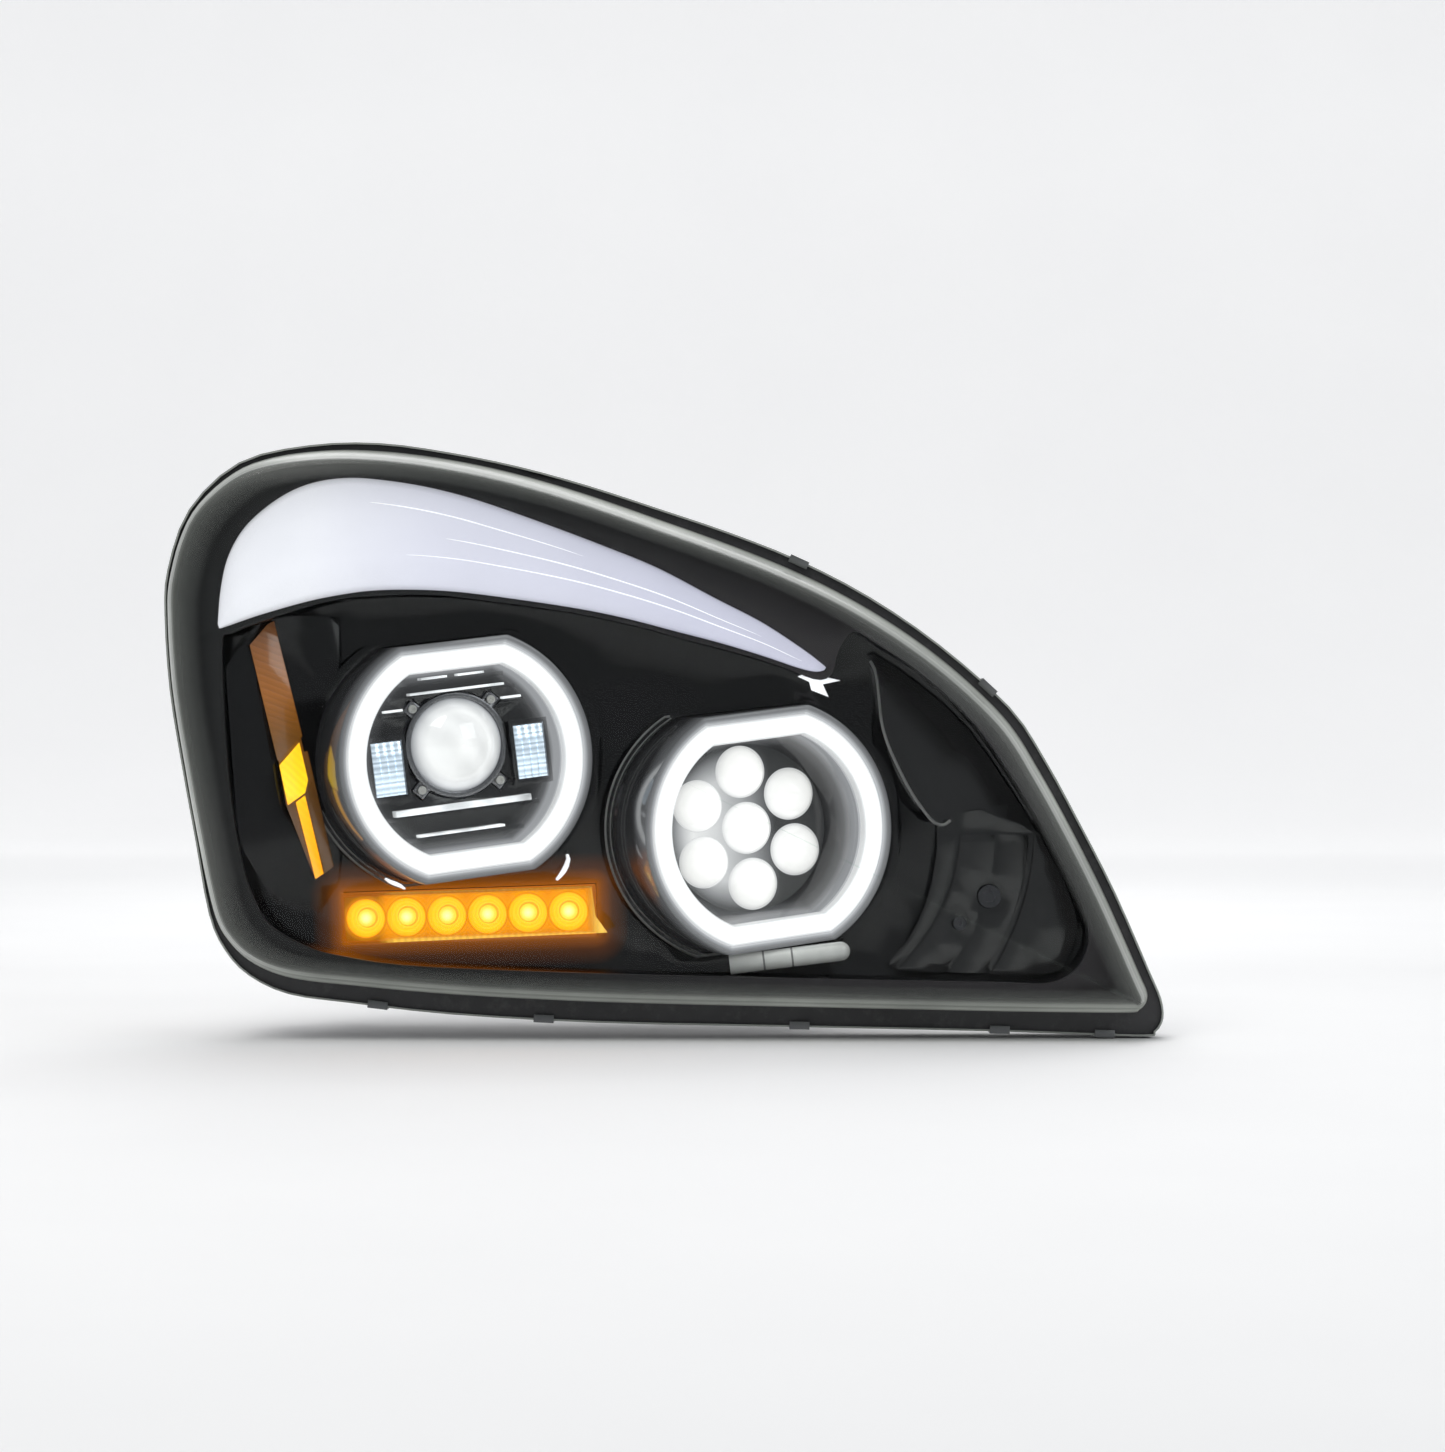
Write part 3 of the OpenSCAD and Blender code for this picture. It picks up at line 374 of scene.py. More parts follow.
spill = g.math('MULTIPLY', g.ramp(g.span(dist, 0.0, 24.0), [(0.0, 1.0), (0.25, 0.45), (0.55, 0.12), (1.0, 0.0)]), g.math('SUBTRACT', 1.0, land))
g.set(col=base, rough=rr, nrm=g.bump(fb, 0.10, 0.0004), coat=0.10, coatr=0.05, spec=0.28, emit=(1.0, 0.26, 0.01), glow=g.math('MULTIPLY', spill, 0.42))
S["bezel_black"] = g.m
g = G("panel_black")
g.set(spec=0.4, col=g.mix(g.noise(18, 3, 0.6), (0.006, 0.006, 0.0066), (0.016, 0.015, 0.015)), rough=g.math('ADD', g.math('MULTIPLY', g.noise(45, 5, 0.7), 0.14), 0.10),
      nrm=g.bump(g.noise(500, 2, 0.6), 0.06, 0.0003), coat=0.4, coatr=0.05)
S["panel_black"] = g.m


def halo_mat(name, M):
    g = G(name)
    d, x, y, z, rad = d_distance(g, M, 78.5, 70)
    off = g.math('ABSOLUTE', d)
    core = g.ramp(g.span(off, 0.0, 8.0), [(0.0, 1.0), (0.55, 0.92), (0.72, 0.62), (0.86, 0.36), (1.0, 0.20)])
    ang = g.math('ARCTAN2', z, x)
    dots = g.math('ADD', g.math('MULTIPLY', g.math('SINE', g.math('MULTIPLY', ang, 15.0)), 0.02), 1.0)
    st = g.math('MULTIPLY', g.math('MULTIPLY', core, dots), 1.35)
    g.set(col=(0.30, 0.30, 0.31), rough=0.35, emit=g.mix(g.noise(120, 2, 0.5), (0.96, 0.975, 1.0), (1.0, 1.0, 1.0)), glow=st,
          nrm=g.bump(g.noise(300, 2, 0.5), 0.05, 0.0002))
    return g.m


def edge_of(g, lo=0.0, hi=1.0, blend=0.5):
    lw = g.n('ShaderNodeLayerWeight')
    lw.inputs['Blend'].default_value = blend
    return g.span(lw.outputs['Facing'], 0.0, 1.0, lo, hi)


# projector lens: thick ground glass, lit from behind, cooler and dimmer at its edge
g = G("projector_glass")
x, y, z = g.local(LOW)
zz = g.math('SUBTRACT', z, 10.0)
rad = g.math('SQRT', g.math('ADD', g.math('MULTIPLY', x, x), g.math('MULTIPLY', zz, zz)))
ring = g.ramp(g.span(rad, 0.0, 33.0), [(0.0, 0.98), (0.45, 0.90), (0.72, 0.92), (0.88, 0.74), (0.96, 0.50), (1.0, 0.26)])
streak = g.n('ShaderNodeTexWave', wave_type='BANDS', bands_direction='DIAGONAL')
g.link(g.P, streak.inputs['Vector'])
streak.inputs['Scale'].default_value = 22
streak.inputs['Distortion'].default_value = 2.2
soft = g.math('ADD', g.math('MULTIPLY', streak.outputs[1], 0.10), g.math('ADD', g.math('MULTIPLY', g.noise(45, 3, 0.5), 0.22), 0.84))
g.set(col=(0.22, 0.22, 0.23), rough=0.04, emit=g.mix(ring, (0.70, 0.74, 0.82), (0.97, 0.97, 0.96)), glow=g.math('MULTIPLY', g.math('MULTIPLY', ring, soft), 0.92), coat=1.0, coatr=0.02, spec=0.6)
M_PROJ = g.m

# high-beam optics: seven bright domes
g = G("high_optic_glass")
x, y, z = g.local(HIGH)
near = None
for hx, hz in [(0, 0)]+[(40*math.sin(math.radians(a)), 40*math.cos(math.radians(a))) for a in range(0, 360, 60)]:
    ax, az = g.math('SUBTRACT', x, hx), g.math('SUBTRACT', z, hz)
    r = g.math('SQRT', g.math('ADD', g.math('MULTIPLY', ax, ax), g.math('MULTIPLY', az, az)))
    near = r if near is None else g.math('MINIMUM', near, r)
dome = g.ramp(g.span(near, 0.0, 22.0), [(0.0, 1.0), (0.45, 1.0), (0.66, 0.94), (0.78, 0.80), (0.835, 0.60), (0.85, 0.0), (1.0, 0.0)])
gap = g.math('MULTIPLY', g.math('GREATER_THAN', near, 18.45), g.span(x, -42.0, 22.0, 0.80, 0.02))
rim_ = g.span(g.math('SQRT', g.math('ADD', g.math('MULTIPLY', x, x), g.math('MULTIPLY', z, z))), 40.0, 58.0, 1.0, 0.10)
dome = g.math('MAXIMUM', dome, g.math('MULTIPLY', gap, rim_))
out = g.span(g.math('SQRT', g.math('ADD', g.math('MULTIPLY', x, x), g.math('MULTIPLY', z, z))), 0.0, 62.0, 1.06, 0.90)
side = g.span(x, 5.0, 55.0, 1.0, 0.86)
g.set(col=g.mix(g.span(dome, 0.0, 0.5), (0.03, 0.03, 0.03), (0.20, 0.20, 0.21)), rough=0.10, emit=g.mix(dome, (0.80, 0.82, 0.86), (1.0, 0.99, 0.97)), glow=g.math('MULTIPLY', g.math('MULTIPLY', g.math('MULTIPLY', dome, out), side), g.math('ADD', g.math('MULTIPLY', g.noise(70, 3, 0.5), 0.16), 0.98)), coat=0.8, coatr=0.03)
M_HOPT = g.m
S["optic_clear"] = M_PROJ

# bright trim in the shroud: louvres, and the two ribbed cool-blue blocks; their brightness is painted reflection, a
# patchy glow on the louvres and painted light and dark rib highlights on the blocks
g = G("shroud_trim_chrome")
x, y, z = g.local(LOW)
blk = g.math('MULTIPLY', g.math('GREATER_THAN', g.math('ABSOLUTE', x), 37.0), g.math('MULTIPLY', g.math('LESS_THAN', z, 26.0), g.math('GREATER_THAN', z, -24.0)))
rib_stripe_highlight = g.ramp(g.math('FRACT', g.math('DIVIDE', g.math('ADD', z, 40.0), 7.4)), [(0.0, 0.25), (0.15, 0.9), (0.5, 0.35), (0.8, 1.0), (1.0, 0.25)])
blue_rib_highlight_col = g.mix(rib_stripe_highlight, (0.20, 0.27, 0.34), (0.78, 0.88, 0.98))
col = g.mix(blk, g.mix(g.noise(50, 3, 0.6), (0.55, 0.56, 0.58), (0.82, 0.83, 0.85)), blue_rib_highlight_col)
louvre_reflection_glow = g.math('MULTIPLY', g.ramp(g.noise(28, 2, 0.5), [(0.38, 0.30), (0.56, 1.0)]), g.math('SUBTRACT', 1.0, blk))
g.set(col=col, metal=0.85, rough=g.math('ADD', g.math('MULTIPLY', g.noise(150, 3, 0.6), 0.12), 0.10), emit=g.mix(blk, (0.86, 0.88, 0.90), blue_rib_highlight_col),
      glow=g.math('ADD', g.math('MULTIPLY', blk, 0.62), g.math('MULTIPLY', louvre_reflection_glow, 0.95)), nrm=g.bump(g.noise(300, 2, 0.5), 0.06, 0.0002))
S["chrome_trim"] = g.m

# turn strip
def turn_polar(g):
    x, y, z = g.local(TURN)
    cell = g.math('SUBTRACT', x, g.math('MULTIPLY', g.math('ROUND', g.math('DIVIDE', x, 28.5)), 28.5))
    zz = g.math('ADD', z, 0.4)
    return x, y, z, g.math('SQRT', g.math('ADD', g.math('MULTIPLY', cell, cell), g.math('MULTIPLY', zz, zz))), cell


g = G("turn_reflector_amber")
x, y, z, r, cell = turn_polar(g)
# painted reflection: the amber reflector glows as emission, brightest at each cell's centre, with painted rib
# highlights rippling by radius and a painted shade on the outer ring of the first cell
reflector_glow_col = g.ramp(g.span(r, 0.0, 20.0), [(0.0, (1.0, 0.92, 0.50)), (0.32, (1.0, 0.80, 0.18)), (0.42, (1.0, 0.68, 0.07)), (0.58, (1.0, 0.60, 0.03)), (0.66, (1.0, 0.53, 0.02)), (0.70, (0.80, 0.34, 0.008)), (0.76, (1.0, 0.50, 0.015)), (1.0, (0.94, 0.36, 0.006))])
rib_highlights = g.math('ADD', g.math('MULTIPLY', g.math('SINE', g.math('MULTIPLY', r, 2.6)), 0.10), 0.94)
g.set(col=(0.70, 0.32, 0.03), metal=0.6, rough=0.25, emit=reflector_glow_col, glow=g.math('MULTIPLY', g.math('MULTIPLY', rib_highlights, g.span(r, 0.0, 18.0, 1.30, 0.92)), g.math('SUBTRACT', 1.0, g.math('MULTIPLY', g.span(r, 12.0, 16.5), g.span(x, 14.0, 8.0, 0.0, 0.85)))), nrm=g.bump(g.noise(260, 2, 0.5), 0.1, 0.0003))
S["amber_reflector"] = g.m
g = G("turn_optic_glow")
x, y, z, r, cell = turn_polar(g)
hot = g.ramp(g.span(r, 0.0, 6.4), [(0.0, (1.0, 0.98, 0.88)), (0.40, (1.0, 0.95, 0.66)), (0.70, (1.0, 0.84, 0.30)), (1.0, (1.0, 0.70, 0.12))])
g.set(col=(0.9, 0.6, 0.2), rough=0.12, emit=hot, glow=g.span(g.math('ADD', r, g.math('MULTIPLY', g.noise(300, 2, 0.5), 0.6)), 0.0, 6.4, 2.3, 1.1), coat=0.6, coatr=0.03)
S["amber_glow"] = g.m
g = G("turn_lens_amber")
x, y, z, r, cell = turn_polar(g)
low = g.ramp(g.span(z, -18.2, -11.0), [(0.0, 1.0), (0.35, 0.75), (0.6, 0.15), (1.0, 0.0)])
tail = g.span(x, 155.0, 163.0)
glow = g.math('MAXIMUM', low, g.math('MULTIPLY', tail, 0.9))
top = g.span(z, 14.0, 17.4)
glow = g.math('MAXIMUM', glow, g.math('MULTIPLY', top, 0.45))
glow = g.math('MULTIPLY', glow, g.span(x, 8.0, 20.0, 0.05, 1.0))
flute = g.math('ADD', g.math('MULTIPLY', g.math('SINE', g.math('MULTIPLY', x, 1.3)), 0.12), 0.9)
g.set(col=(0.30, 0.12, 0.004), rough=0.18, emit=g.mix(glow, (1.0, 0.48, 0.02), (1.0, 0.64, 0.10)), glow=g.math('MULTIPLY', g.math('ADD', g.math('MULTIPLY', glow, 0.95), 0.16), flute), coat=0.5, coatr=0.05)
tr = g.n('ShaderNodeBsdfTransparent')
tr.inputs[0].default_value = (1.0, 0.90, 0.62, 1)
ms = g.n('ShaderNodeMixShader')
g.link(g.math('ADD', g.math('MULTIPLY', glow, 0.75), 0.13, clamp=True), ms.inputs[0])
g.link(tr.outputs[0], ms.inputs[1])
g.link(g.p.outputs[0], ms.inputs[2])
g.link(ms.outputs[0], g.out.inputs[0])
S["amber_clear"] = g.m

g = G("turn_board_lit")
x, y, z, r, cell = turn_polar(g)
g.set(col=(0.20, 0.10, 0.01), rough=0.4, emit=g.mix(g.noise(200, 2, 0.5), (1.0, 0.62, 0.05), (1.0, 0.74, 0.14)), glow=g.span(r, 5.0, 16.0, 0.95, 0.25), nrm=g.bump(g.noise(400, 2, 0.5), 0.1, 0.0002))
M_TBOARD = g.m

# side marker: smoked amber strip over bright guides
g = G("marker_amber")
X, Y, Z = g.xyz()
up = g.ramp(g.span(Z, -30.0, 90.0), [(0.0, (0.10, 0.040, 0.006)), (0.35, (0.17, 0.065, 0.008)), (0.6, (0.30, 0.10, 0.012)), (0.85, (0.22, 0.075, 0.014)), (1.0, (0.12, 0.045, 0.014))])
facet = g.ramp(g.math('FRACT', g.math('DIVIDE', g.math('ADD', Z, g.math('MULTIPLY', X, 0.4)), 9.0)), [(0.0, 0.75), (0.5, 1.0), (0.52, 0.7), (1.0, 1.0)])
g.set(col=g.mix(facet, (0.08, 0.028, 0.004), up), rough=0.16, emit=up, glow=g.math('MULTIPLY', facet, 0.55), coat=0.8, coatr=0.04, nrm=g.bump(facet, 0.25, 0.0006))
S["amber_brown"] = g.m
g = G("marker_glow")
X, Y, Z = g.xyz()
yel = g.ramp(g.span(Z, -90.0, 10.0), [(0.0, (0.95, 0.34, 0.006)), (0.30, (0.98, 0.42, 0.010)), (0.56, (1.0, 0.50, 0.012)), (0.62, (1.0, 0.70, 0.012)), (1.0, (1.0, 0.55, 0.008))])
line = g.math('ADD', g.math('MULTIPLY', g.math('SINE', g.math('MULTIPLY', g.math('ADD', Z, X), 1.1)), 0.08), 0.98)
g.set(col=(0.8, 0.4, 0.02), rough=0.2, emit=yel, glow=g.math('MULTIPLY', line, 1.0), coat=0.6, coatr=0.04, nrm=g.bump(g.noise(300, 2, 0.5), 0.1, 0.0002))
M_MARK = g.m

# level vial: milky tube with a clearer bubble window; its brightness is a painted glow, with a painted highlight band
# near the top of the tube, growing brighter from left to right and dimming at the right end
g = G("vial_milky")
x, y, z = g.local(VIAL)
tube_highlight = g.ramp(g.span(z, -6.8, 6.8), [(0.0, 0.16), (0.25, 0.42), (0.52, 0.60), (0.70, 0.86), (0.80, 0.95), (0.9, 0.6), (1.0, 0.3)])
mark = g.math('MAXIMUM', g.math('LESS_THAN', g.math('ABSOLUTE', g.math('ADD', x, 12.0)), 0.7), g.math('LESS_THAN', g.math('ABSOLUTE', g.math('SUBTRACT', x, 8.0)), 0.7))
end_glow = g.math('MULTIPLY', g.span(x, 36.0, 47.0, 1.0, 0.62), g.span(x, -34.0, 10.0, 0.70, 1.45))
colv = g.mix(mark, g.mix(g.noise(90, 3, 0.6), (0.26, 0.27, 0.265), (0.40, 0.40, 0.39)), (0.12, 0.12, 0.12))
g.set(col=colv, rough=0.16, emit=(0.82, 0.83, 0.80), glow=g.math('MULTIPLY', g.math('MULTIPLY', tube_highlight, end_glow), g.math('SUBTRACT', 0.30, g.math('MULTIPLY', mark, 0.22))), coat=0.7, coatr=0.05)
S["vial_grey"] = g.m

# daytime-running bar: frosted light guide with three fine streaks
g = G("drl_frost")
uv = g.n('ShaderNodeUVMap', uv_map="UVMap")
sp = g.n('ShaderNodeSeparateXYZ')
g.link(uv.outputs[0], sp.inputs[0])
U, V = sp.outputs[0], sp.outputs[1]
along = g.ramp(U, [(0.0, (0.90, 0.90, 0.95)), (0.14, (1.0, 1.0, 1.05)), (0.30, (0.98, 0.98, 1.04)), (0.5, (0.80, 0.80, 0.92)), (0.75, (0.64, 0.64, 0.79)), (1.0, (0.56, 0.55, 0.70))])
across = g.ramp(V, [(0.0, 0.52), (0.06, 0.84), (0.3, 0.93), (0.7, 1.0), (0.95, 0.96), (1.0, 0.70)])
grain = g.math('ADD', g.math('MULTIPLY', g.noise(900, 2, 0.7), 0.12), g.math('ADD', g.math('MULTIPLY', g.noise(22, 3, 0.6), 0.10), 0.86))
endf = g.span(U, 0.93, 1.0, 1.0, 0.72)
g.set(col=(0.22, 0.22, 0.25), rough=0.36, emit=along, glow=g.math('MULTIPLY', g.math('MULTIPLY', g.math('MULTIPLY', across, grain), endf), 0.80),
      nrm=g.bump(g.noise(900, 2, 0.6), 0.10, 0.0002), coat=0.25, coatr=0.1)
M_DRL = g.m
g = G("drl_streak")
g.set(col=(0.5, 0.5, 0.52), rough=0.3, emit=(0.97, 0.97, 1.0), glow=g.math('ADD', g.math('MULTIPLY', g.noise(60, 3, 0.6), 0.35), 0.68))
M_STREAK = g.m
S["drl_white"] = M_DRL

# outer lens: clear crown, frosted skirt. The band value (UV.x) runs 0 at the foot to 1 where the crown begins
g = G("lens_clear")
uv = g.n('ShaderNodeUVMap', uv_map="UVMap")
sp = g.n('ShaderNodeSeparateXYZ')
g.link(uv.outputs[0], sp.inputs[0])
B = sp.outputs[0]
frost = g.ramp(B, [(0.0, 0.60), (0.14, 0.80), (0.26, 0.95), (0.84, 0.93), (0.93, 0.82), (0.985, 0.45), (1.0, 0.0)])
# painted light: the frosted skirt glows as emission in light bands that fade out towards the crown, patchy in strength
line = g.ramp(B, [(0.0, (0.19, 0.20, 0.18)), (0.12, (0.09, 0.095, 0.09)), (0.27, (0.25, 0.262, 0.242)), (0.42, (0.31, 0.325, 0.30)), (0.56, (0.27, 0.283, 0.262)), (0.64, (0.15, 0.158, 0.146)), (0.72, (0.22, 0.231, 0.213)), (0.85, (0.15, 0.157, 0.146)), (0.93, (0.08, 0.084, 0.078)), (1.0, (0.02, 0.02, 0.02))])
patch = g.noise(9, 3, 0.6)
g.set(emit=line, glow=g.span(patch, 0.3, 0.75, 0.66, 0.42), col=g.mix(g.span(patch, 0.3, 0.7), line, g.mix(0.45, line, (0.10, 0.11, 0.10))), rough=g.math('ADD', g.math('MULTIPLY', g.noise(140, 4, 0.6), 0.2), 0.22), spec=0.5,
      nrm=g.bump(g.noise(260, 3, 0.6), 0.08, 0.0003))
clear = g.n('ShaderNodeBsdfTransparent')
clear.inputs[0].default_value = (0.975, 0.985, 0.98, 1)
gl = g.n('ShaderNodeBsdfGlossy')
gl.inputs['Roughness'].default_value = 0.015
gl.inputs['Color'].default_value = (1, 1, 1, 1)
lw = g.n('ShaderNodeLayerWeight')
lw.inputs['Blend'].default_value = 0.5
sheen = g.math('ADD', g.math('MULTIPLY', g.math('POWER', lw.outputs['Facing'], 5.0), 0.80), 0.003)
g.link(g.bump(g.noise(6, 2, 0.5), 0.02, 0.002), gl.inputs['Normal'])
m1 = g.n('ShaderNodeMixShader')
g.link(sheen, m1.inputs[0])
g.link(clear.outputs[0], m1.inputs[1])
g.link(gl.outputs[0], m1.inputs[2])
m2 = g.n('ShaderNodeMixShader')
g.link(g.math('MULTIPLY', frost, g.span(patch, 0.25, 0.8, 1.0, 0.72)), m2.inputs[0])
g.link(m1.outputs[0], m2.inputs[1])
g.link(g.p.outputs[0], m2.inputs[2])
g.link(m2.outputs[0], g.out.inputs[0])
S["clear_lens"] = g.m

# ------------------------------------------------------------------ carry the CAD nodes over
OVER = {"low_cup": lit_black("cup_black_low", LOW, 0.10, 0.62), "high_cup": lit_black("cup_black_high", HIGH, 0.10, 0.62),
        "low_halo": halo_mat("halo_glow_low", LOW), "high_halo": halo_mat("halo_glow_high", HIGH),
        "low_shroud": lit_black("shroud_black", LOW, 0.12, 0.34, 1.0), "high_funnel": lit_black("funnel_black", HIGH, 0.12, 0.42, 0.6),
        "high_optics": M_HOPT, "projector_lens": M_PROJ, "side_marker_guide": M_MARK, "turn_board": M_TBOARD, "shroud_trim": S["chrome_trim"], "lens_retainer": metal("retainer_dark", (0.20, 0.20, 0.21), 0.22),
        "high_reflector": S["reflector_chrome"]}
FACETED = {"housing": 0.35, "bezel": 0.3, "inboard_panel": 0.4, "lens_sealant": 0, "drl_reflector": 0, "drl_board": 0, "inner_harness": 0, "aim_frame": 0.4, "side_marker_lens": 0.25,
           "side_marker_guide": 0.2, "low_cap": 0.5, "high_cap": 0.5, "driver_box": 0.4, "connector_socket": 0.35, "vent_elbows": 0, "adjuster_knob": 0.3, "low_cup": 0.5, "high_cup": 0.5,
           "low_shroud": 0.3, "shroud_trim": 0.35, "lens_clips": 0.25, "mount_bushings": 0.4, "projector_body": 0.5, "low_heatsink": 0, "high_heatsink": 0, "turn_housing": 0.4,
           "turn_lens": 0.3, "turn_reflector": 0.3, "vial_cradle": 0.3, "lens_retainer": 0.4, "high_funnel": 0.3, "fan_frame": 0.3, "fan_rotor": 0.2, "pivot_brackets": 0.4}
for name, o in nodes.items():
    for s in o.material_slots:
        slot_name = s.material.name.split(".")[0]
        s.link = 'OBJECT'
        s.material = OVER.get(name) or S.get(slot_name) or S["grey_plastic"]
    if name in FACETED:
        a = o.data.attributes.get("custom_normal")
        if a is not None:
            o.data.attributes.remove(a)
        o.data.polygons.foreach_set("use_smooth", [True]*len(o.data.polygons))
        w = o.modifiers.new("weld", 'WELD')
        w.merge_threshold = 2e-6
        if FACETED[name]:
            add_bevel(o, FACETED[name], 2, 38)
        e = o.modifiers.new("split", 'EDGE_SPLIT')
        e.split_angle = math.radians(34)

# ------------------------------------------------------------------ outer lens, finer than the frame's
foot = loop_spline(LENS, 2)
y0, k = RIM_Y, CROWN
outer = [(inset(foot, d), y, b) for d, y, b in [(0, y0+8, 0.0), (0, y0-3, 0.12), (1.6, y0-12, 0.30), (3.6, y0-24, 0.52), (5.8, y0-33, 0.70), (8, y0-38, 0.84), (10.4, y0-0.68*k, 0.97)]]
edge = inset(foot, 10.4)
mid = (98, -6)
C = [[0.05, 0.72], [0.13, 0.77], [0.26, 0.835], [0.43, 0.9], [0.63, 0.955], [0.82, 0.99], [0.95, 1]]


def toward(p, t):
    return [[q[0]*(1-t)+mid[0]*t, q[1]*(1-t)+mid[1]*t] for q in p]


outer += [(toward(edge, t), y0-f*k, 1.0) for t, f in C]
inner_edge = inset(foot, 10.6)
inner = [(inset(foot, d), y, b) for d, y, b in [(WALL, y0+8, 0.0), (WALL, y0-3, 0.12), (WALL+1.6, y0-12, 0.30), (WALL+3.6, y0-23, 0.52), (WALL+5.4, y0-31, 0.70), (10.3, y0-0.68*k+WALL+2.6, 0.9)]]
inner += [(toward(inner_edge, t+0.006), y0-f*k+WALL, 1.0) for t, f in C]


def refine(rings, kr, kc):
    fine = [([[a, b] for a, b in loop_spline(r[0], kc)], r[1], r[2]) for r in rings]
    rows = []
    n = len(fine)
    for i in range(n-1):
        a, b, c, d = fine[max(i-1, 0)], fine[i], fine[i+1], fine[min(i+2, n-1)]
        for j in range(kr):
            t = j/kr
            pts = [cr([p[0], p[1], a[1], a[2]], [q[0], q[1], b[1], b[2]], [r[0], r[1], c[1], c[2]], [s[0], s[1], d[1], d[2]], t) for p, q, r, s in zip(a[0], b[0], c[0], d[0])]
            rows.append([(p[0], p[2], p[1], min(max(p[3], 0), 1)) for p in pts])
    rows.append([(p[0], fine[-1][1], p[1], 1.0) for p in fine[-1][0]])
    return rows


def lens_mesh():
    verts, uvs, faces = [], [], []

    def add(rows, flip):
        base, n = len(verts), len(rows[0])
        for r in rows:
            for q in r:
                verts.append((q[0], q[1], q[2]))
                uvs.append((q[3], 0.5))
        for a in range(len(rows)-1):
            for i in range(n):
                j = (i+1) % n
                f = (base+a*n+i, base+a*n+j, base+(a+1)*n+j, base+(a+1)*n+i)
                faces.append(f[::-1] if flip else f)
        c = len(verts)
        last = rows[-1]
        verts.append((sum(q[0] for q in last)/n, last[0][1], sum(q[2] for q in last)/n))
        uvs.append((1.0, 0.5))
        for i in range(n):
            f = (base+(len(rows)-1)*n+i, base+(len(rows)-1)*n+(i+1) % n, c)
            faces.append(f[::-1] if flip else f)
        return base, n
    b0, n = add(refine(outer, 3, 3), False)
    b1, n = add(refine(inner, 3, 3), True)
    for i in range(n):
        j = (i+1) % n
        faces.append((b0+i, b1+i, b1+j, b0+j))
    return verts, faces, uvs


v, f, u = lens_mesh()
lens = obj_from("outer_lens_fine", v, f, [S["clear_lens"]], uv=u)
fix_normals(lens)
sharp(lens, 50)
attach(lens, "lamp")
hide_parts("outer_lens")

# ------------------------------------------------------------------ daytime-running bar
def bar_pt(u, v, lift):
    """a point on the bar's front, u along, v from the upper edge (0) to the lower (1)"""
    a, b = open_at(BAR_TOP, u), open_at(BAR_LOW, u)
    w = math.hypot(a[0]-b[0], a[1]-b[1])
    h = min(7, w*0.16)
    e = 4*v*(1-v)
    up = math.sqrt(max(0.0, 1-(1-e)**2)) if e < 1 else 1.0
    return (a[0]*(1-v)+b[0]*v, RIM_Y-20-h*up*0.97-lift, a[1]*(1-v)+b[1]*v)


rows, uvs, nu, nv = [], [], 110, 26
for i in range(nu+1):
    uu = 0.002+0.99*i/nu
    a, b = open_at(BAR_TOP, uu), open_at(BAR_LOW, uu)
    row = [(a[0], RIM_Y-13, a[1])]
    uvr = [(uu, 0.0)]
    for j in range(nv+1):
        vv = 0.5-0.5*math.cos(math.pi*j/nv)
        row.append(bar_pt(uu, vv, 0))
        uvr.append((uu, vv))
    row.append((b[0], RIM_Y-13, b[1]))
    uvr.append((uu, 1.0))
    rows.append(row)
    uvs += uvr
verts = [q for r in rows for q in r]
drl = obj_from("drl_guide_fine", verts, closed_rows(rows, True, True), [M_DRL], uv=uvs)
fix_normals(drl)
sharp(drl, 50)
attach(drl, "lamp")
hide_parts("drl_guide")


def ribbon(name, pts, half, rise, mat, body, closed=False):
    """a fine half-round rib along points (x, y, z, width scale), standing on the surface towards -Y"""
    rows = []
    n = len(pts)
    for i, p in enumerate(pts):
        q, o = pts[min(i+1, n-1)], pts[max(i-1, 0)]
        tx, tz = q[0]-o[0], q[2]-o[2]
        m = math.hypot(tx, tz) or 1
        nx, nz = -tz/m, tx/m
        w = half*p[3]
        row = []
        for a in range(0, 181, 30):
            c, s = math.cos(math.radians(a)), math.sin(math.radians(a))
            row.append((p[0]+nx*w*c, p[1]-rise*p[3]*s, p[2]+nz*w*c))
        row.append((p[0], p[1]+0.25, p[2]))
        rows.append(row)
    o = obj_from(name, [q for r in rows for q in r], closed_rows(rows, True, True), [mat])
    fix_normals(o)
    sharp(o, 60)
    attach(o, body)
    return o


for i, (v0, v1, ua, ub) in enumerate([(0.21, 0.27, 0.40, 0.66), (0.47, 0.45, 0.52, 0.84), (0.67, 0.62, 0.47, 0.90)]):
    pts = []
    for j in range(61):
        t = j/60
        uu = ua+(ub-ua)*t
        q = bar_pt(uu, v0+(v1-v0)*t, 0.0)
        pts.append((*q, 0.15+0.85*math.sin(math.pi*min(1, t*1.02))**0.5 if 0 < t < 1 else 0.15))
    r = ribbon("drl_streak_%d" % i, pts, 0.38, 0.22, M_STREAK, "lamp")

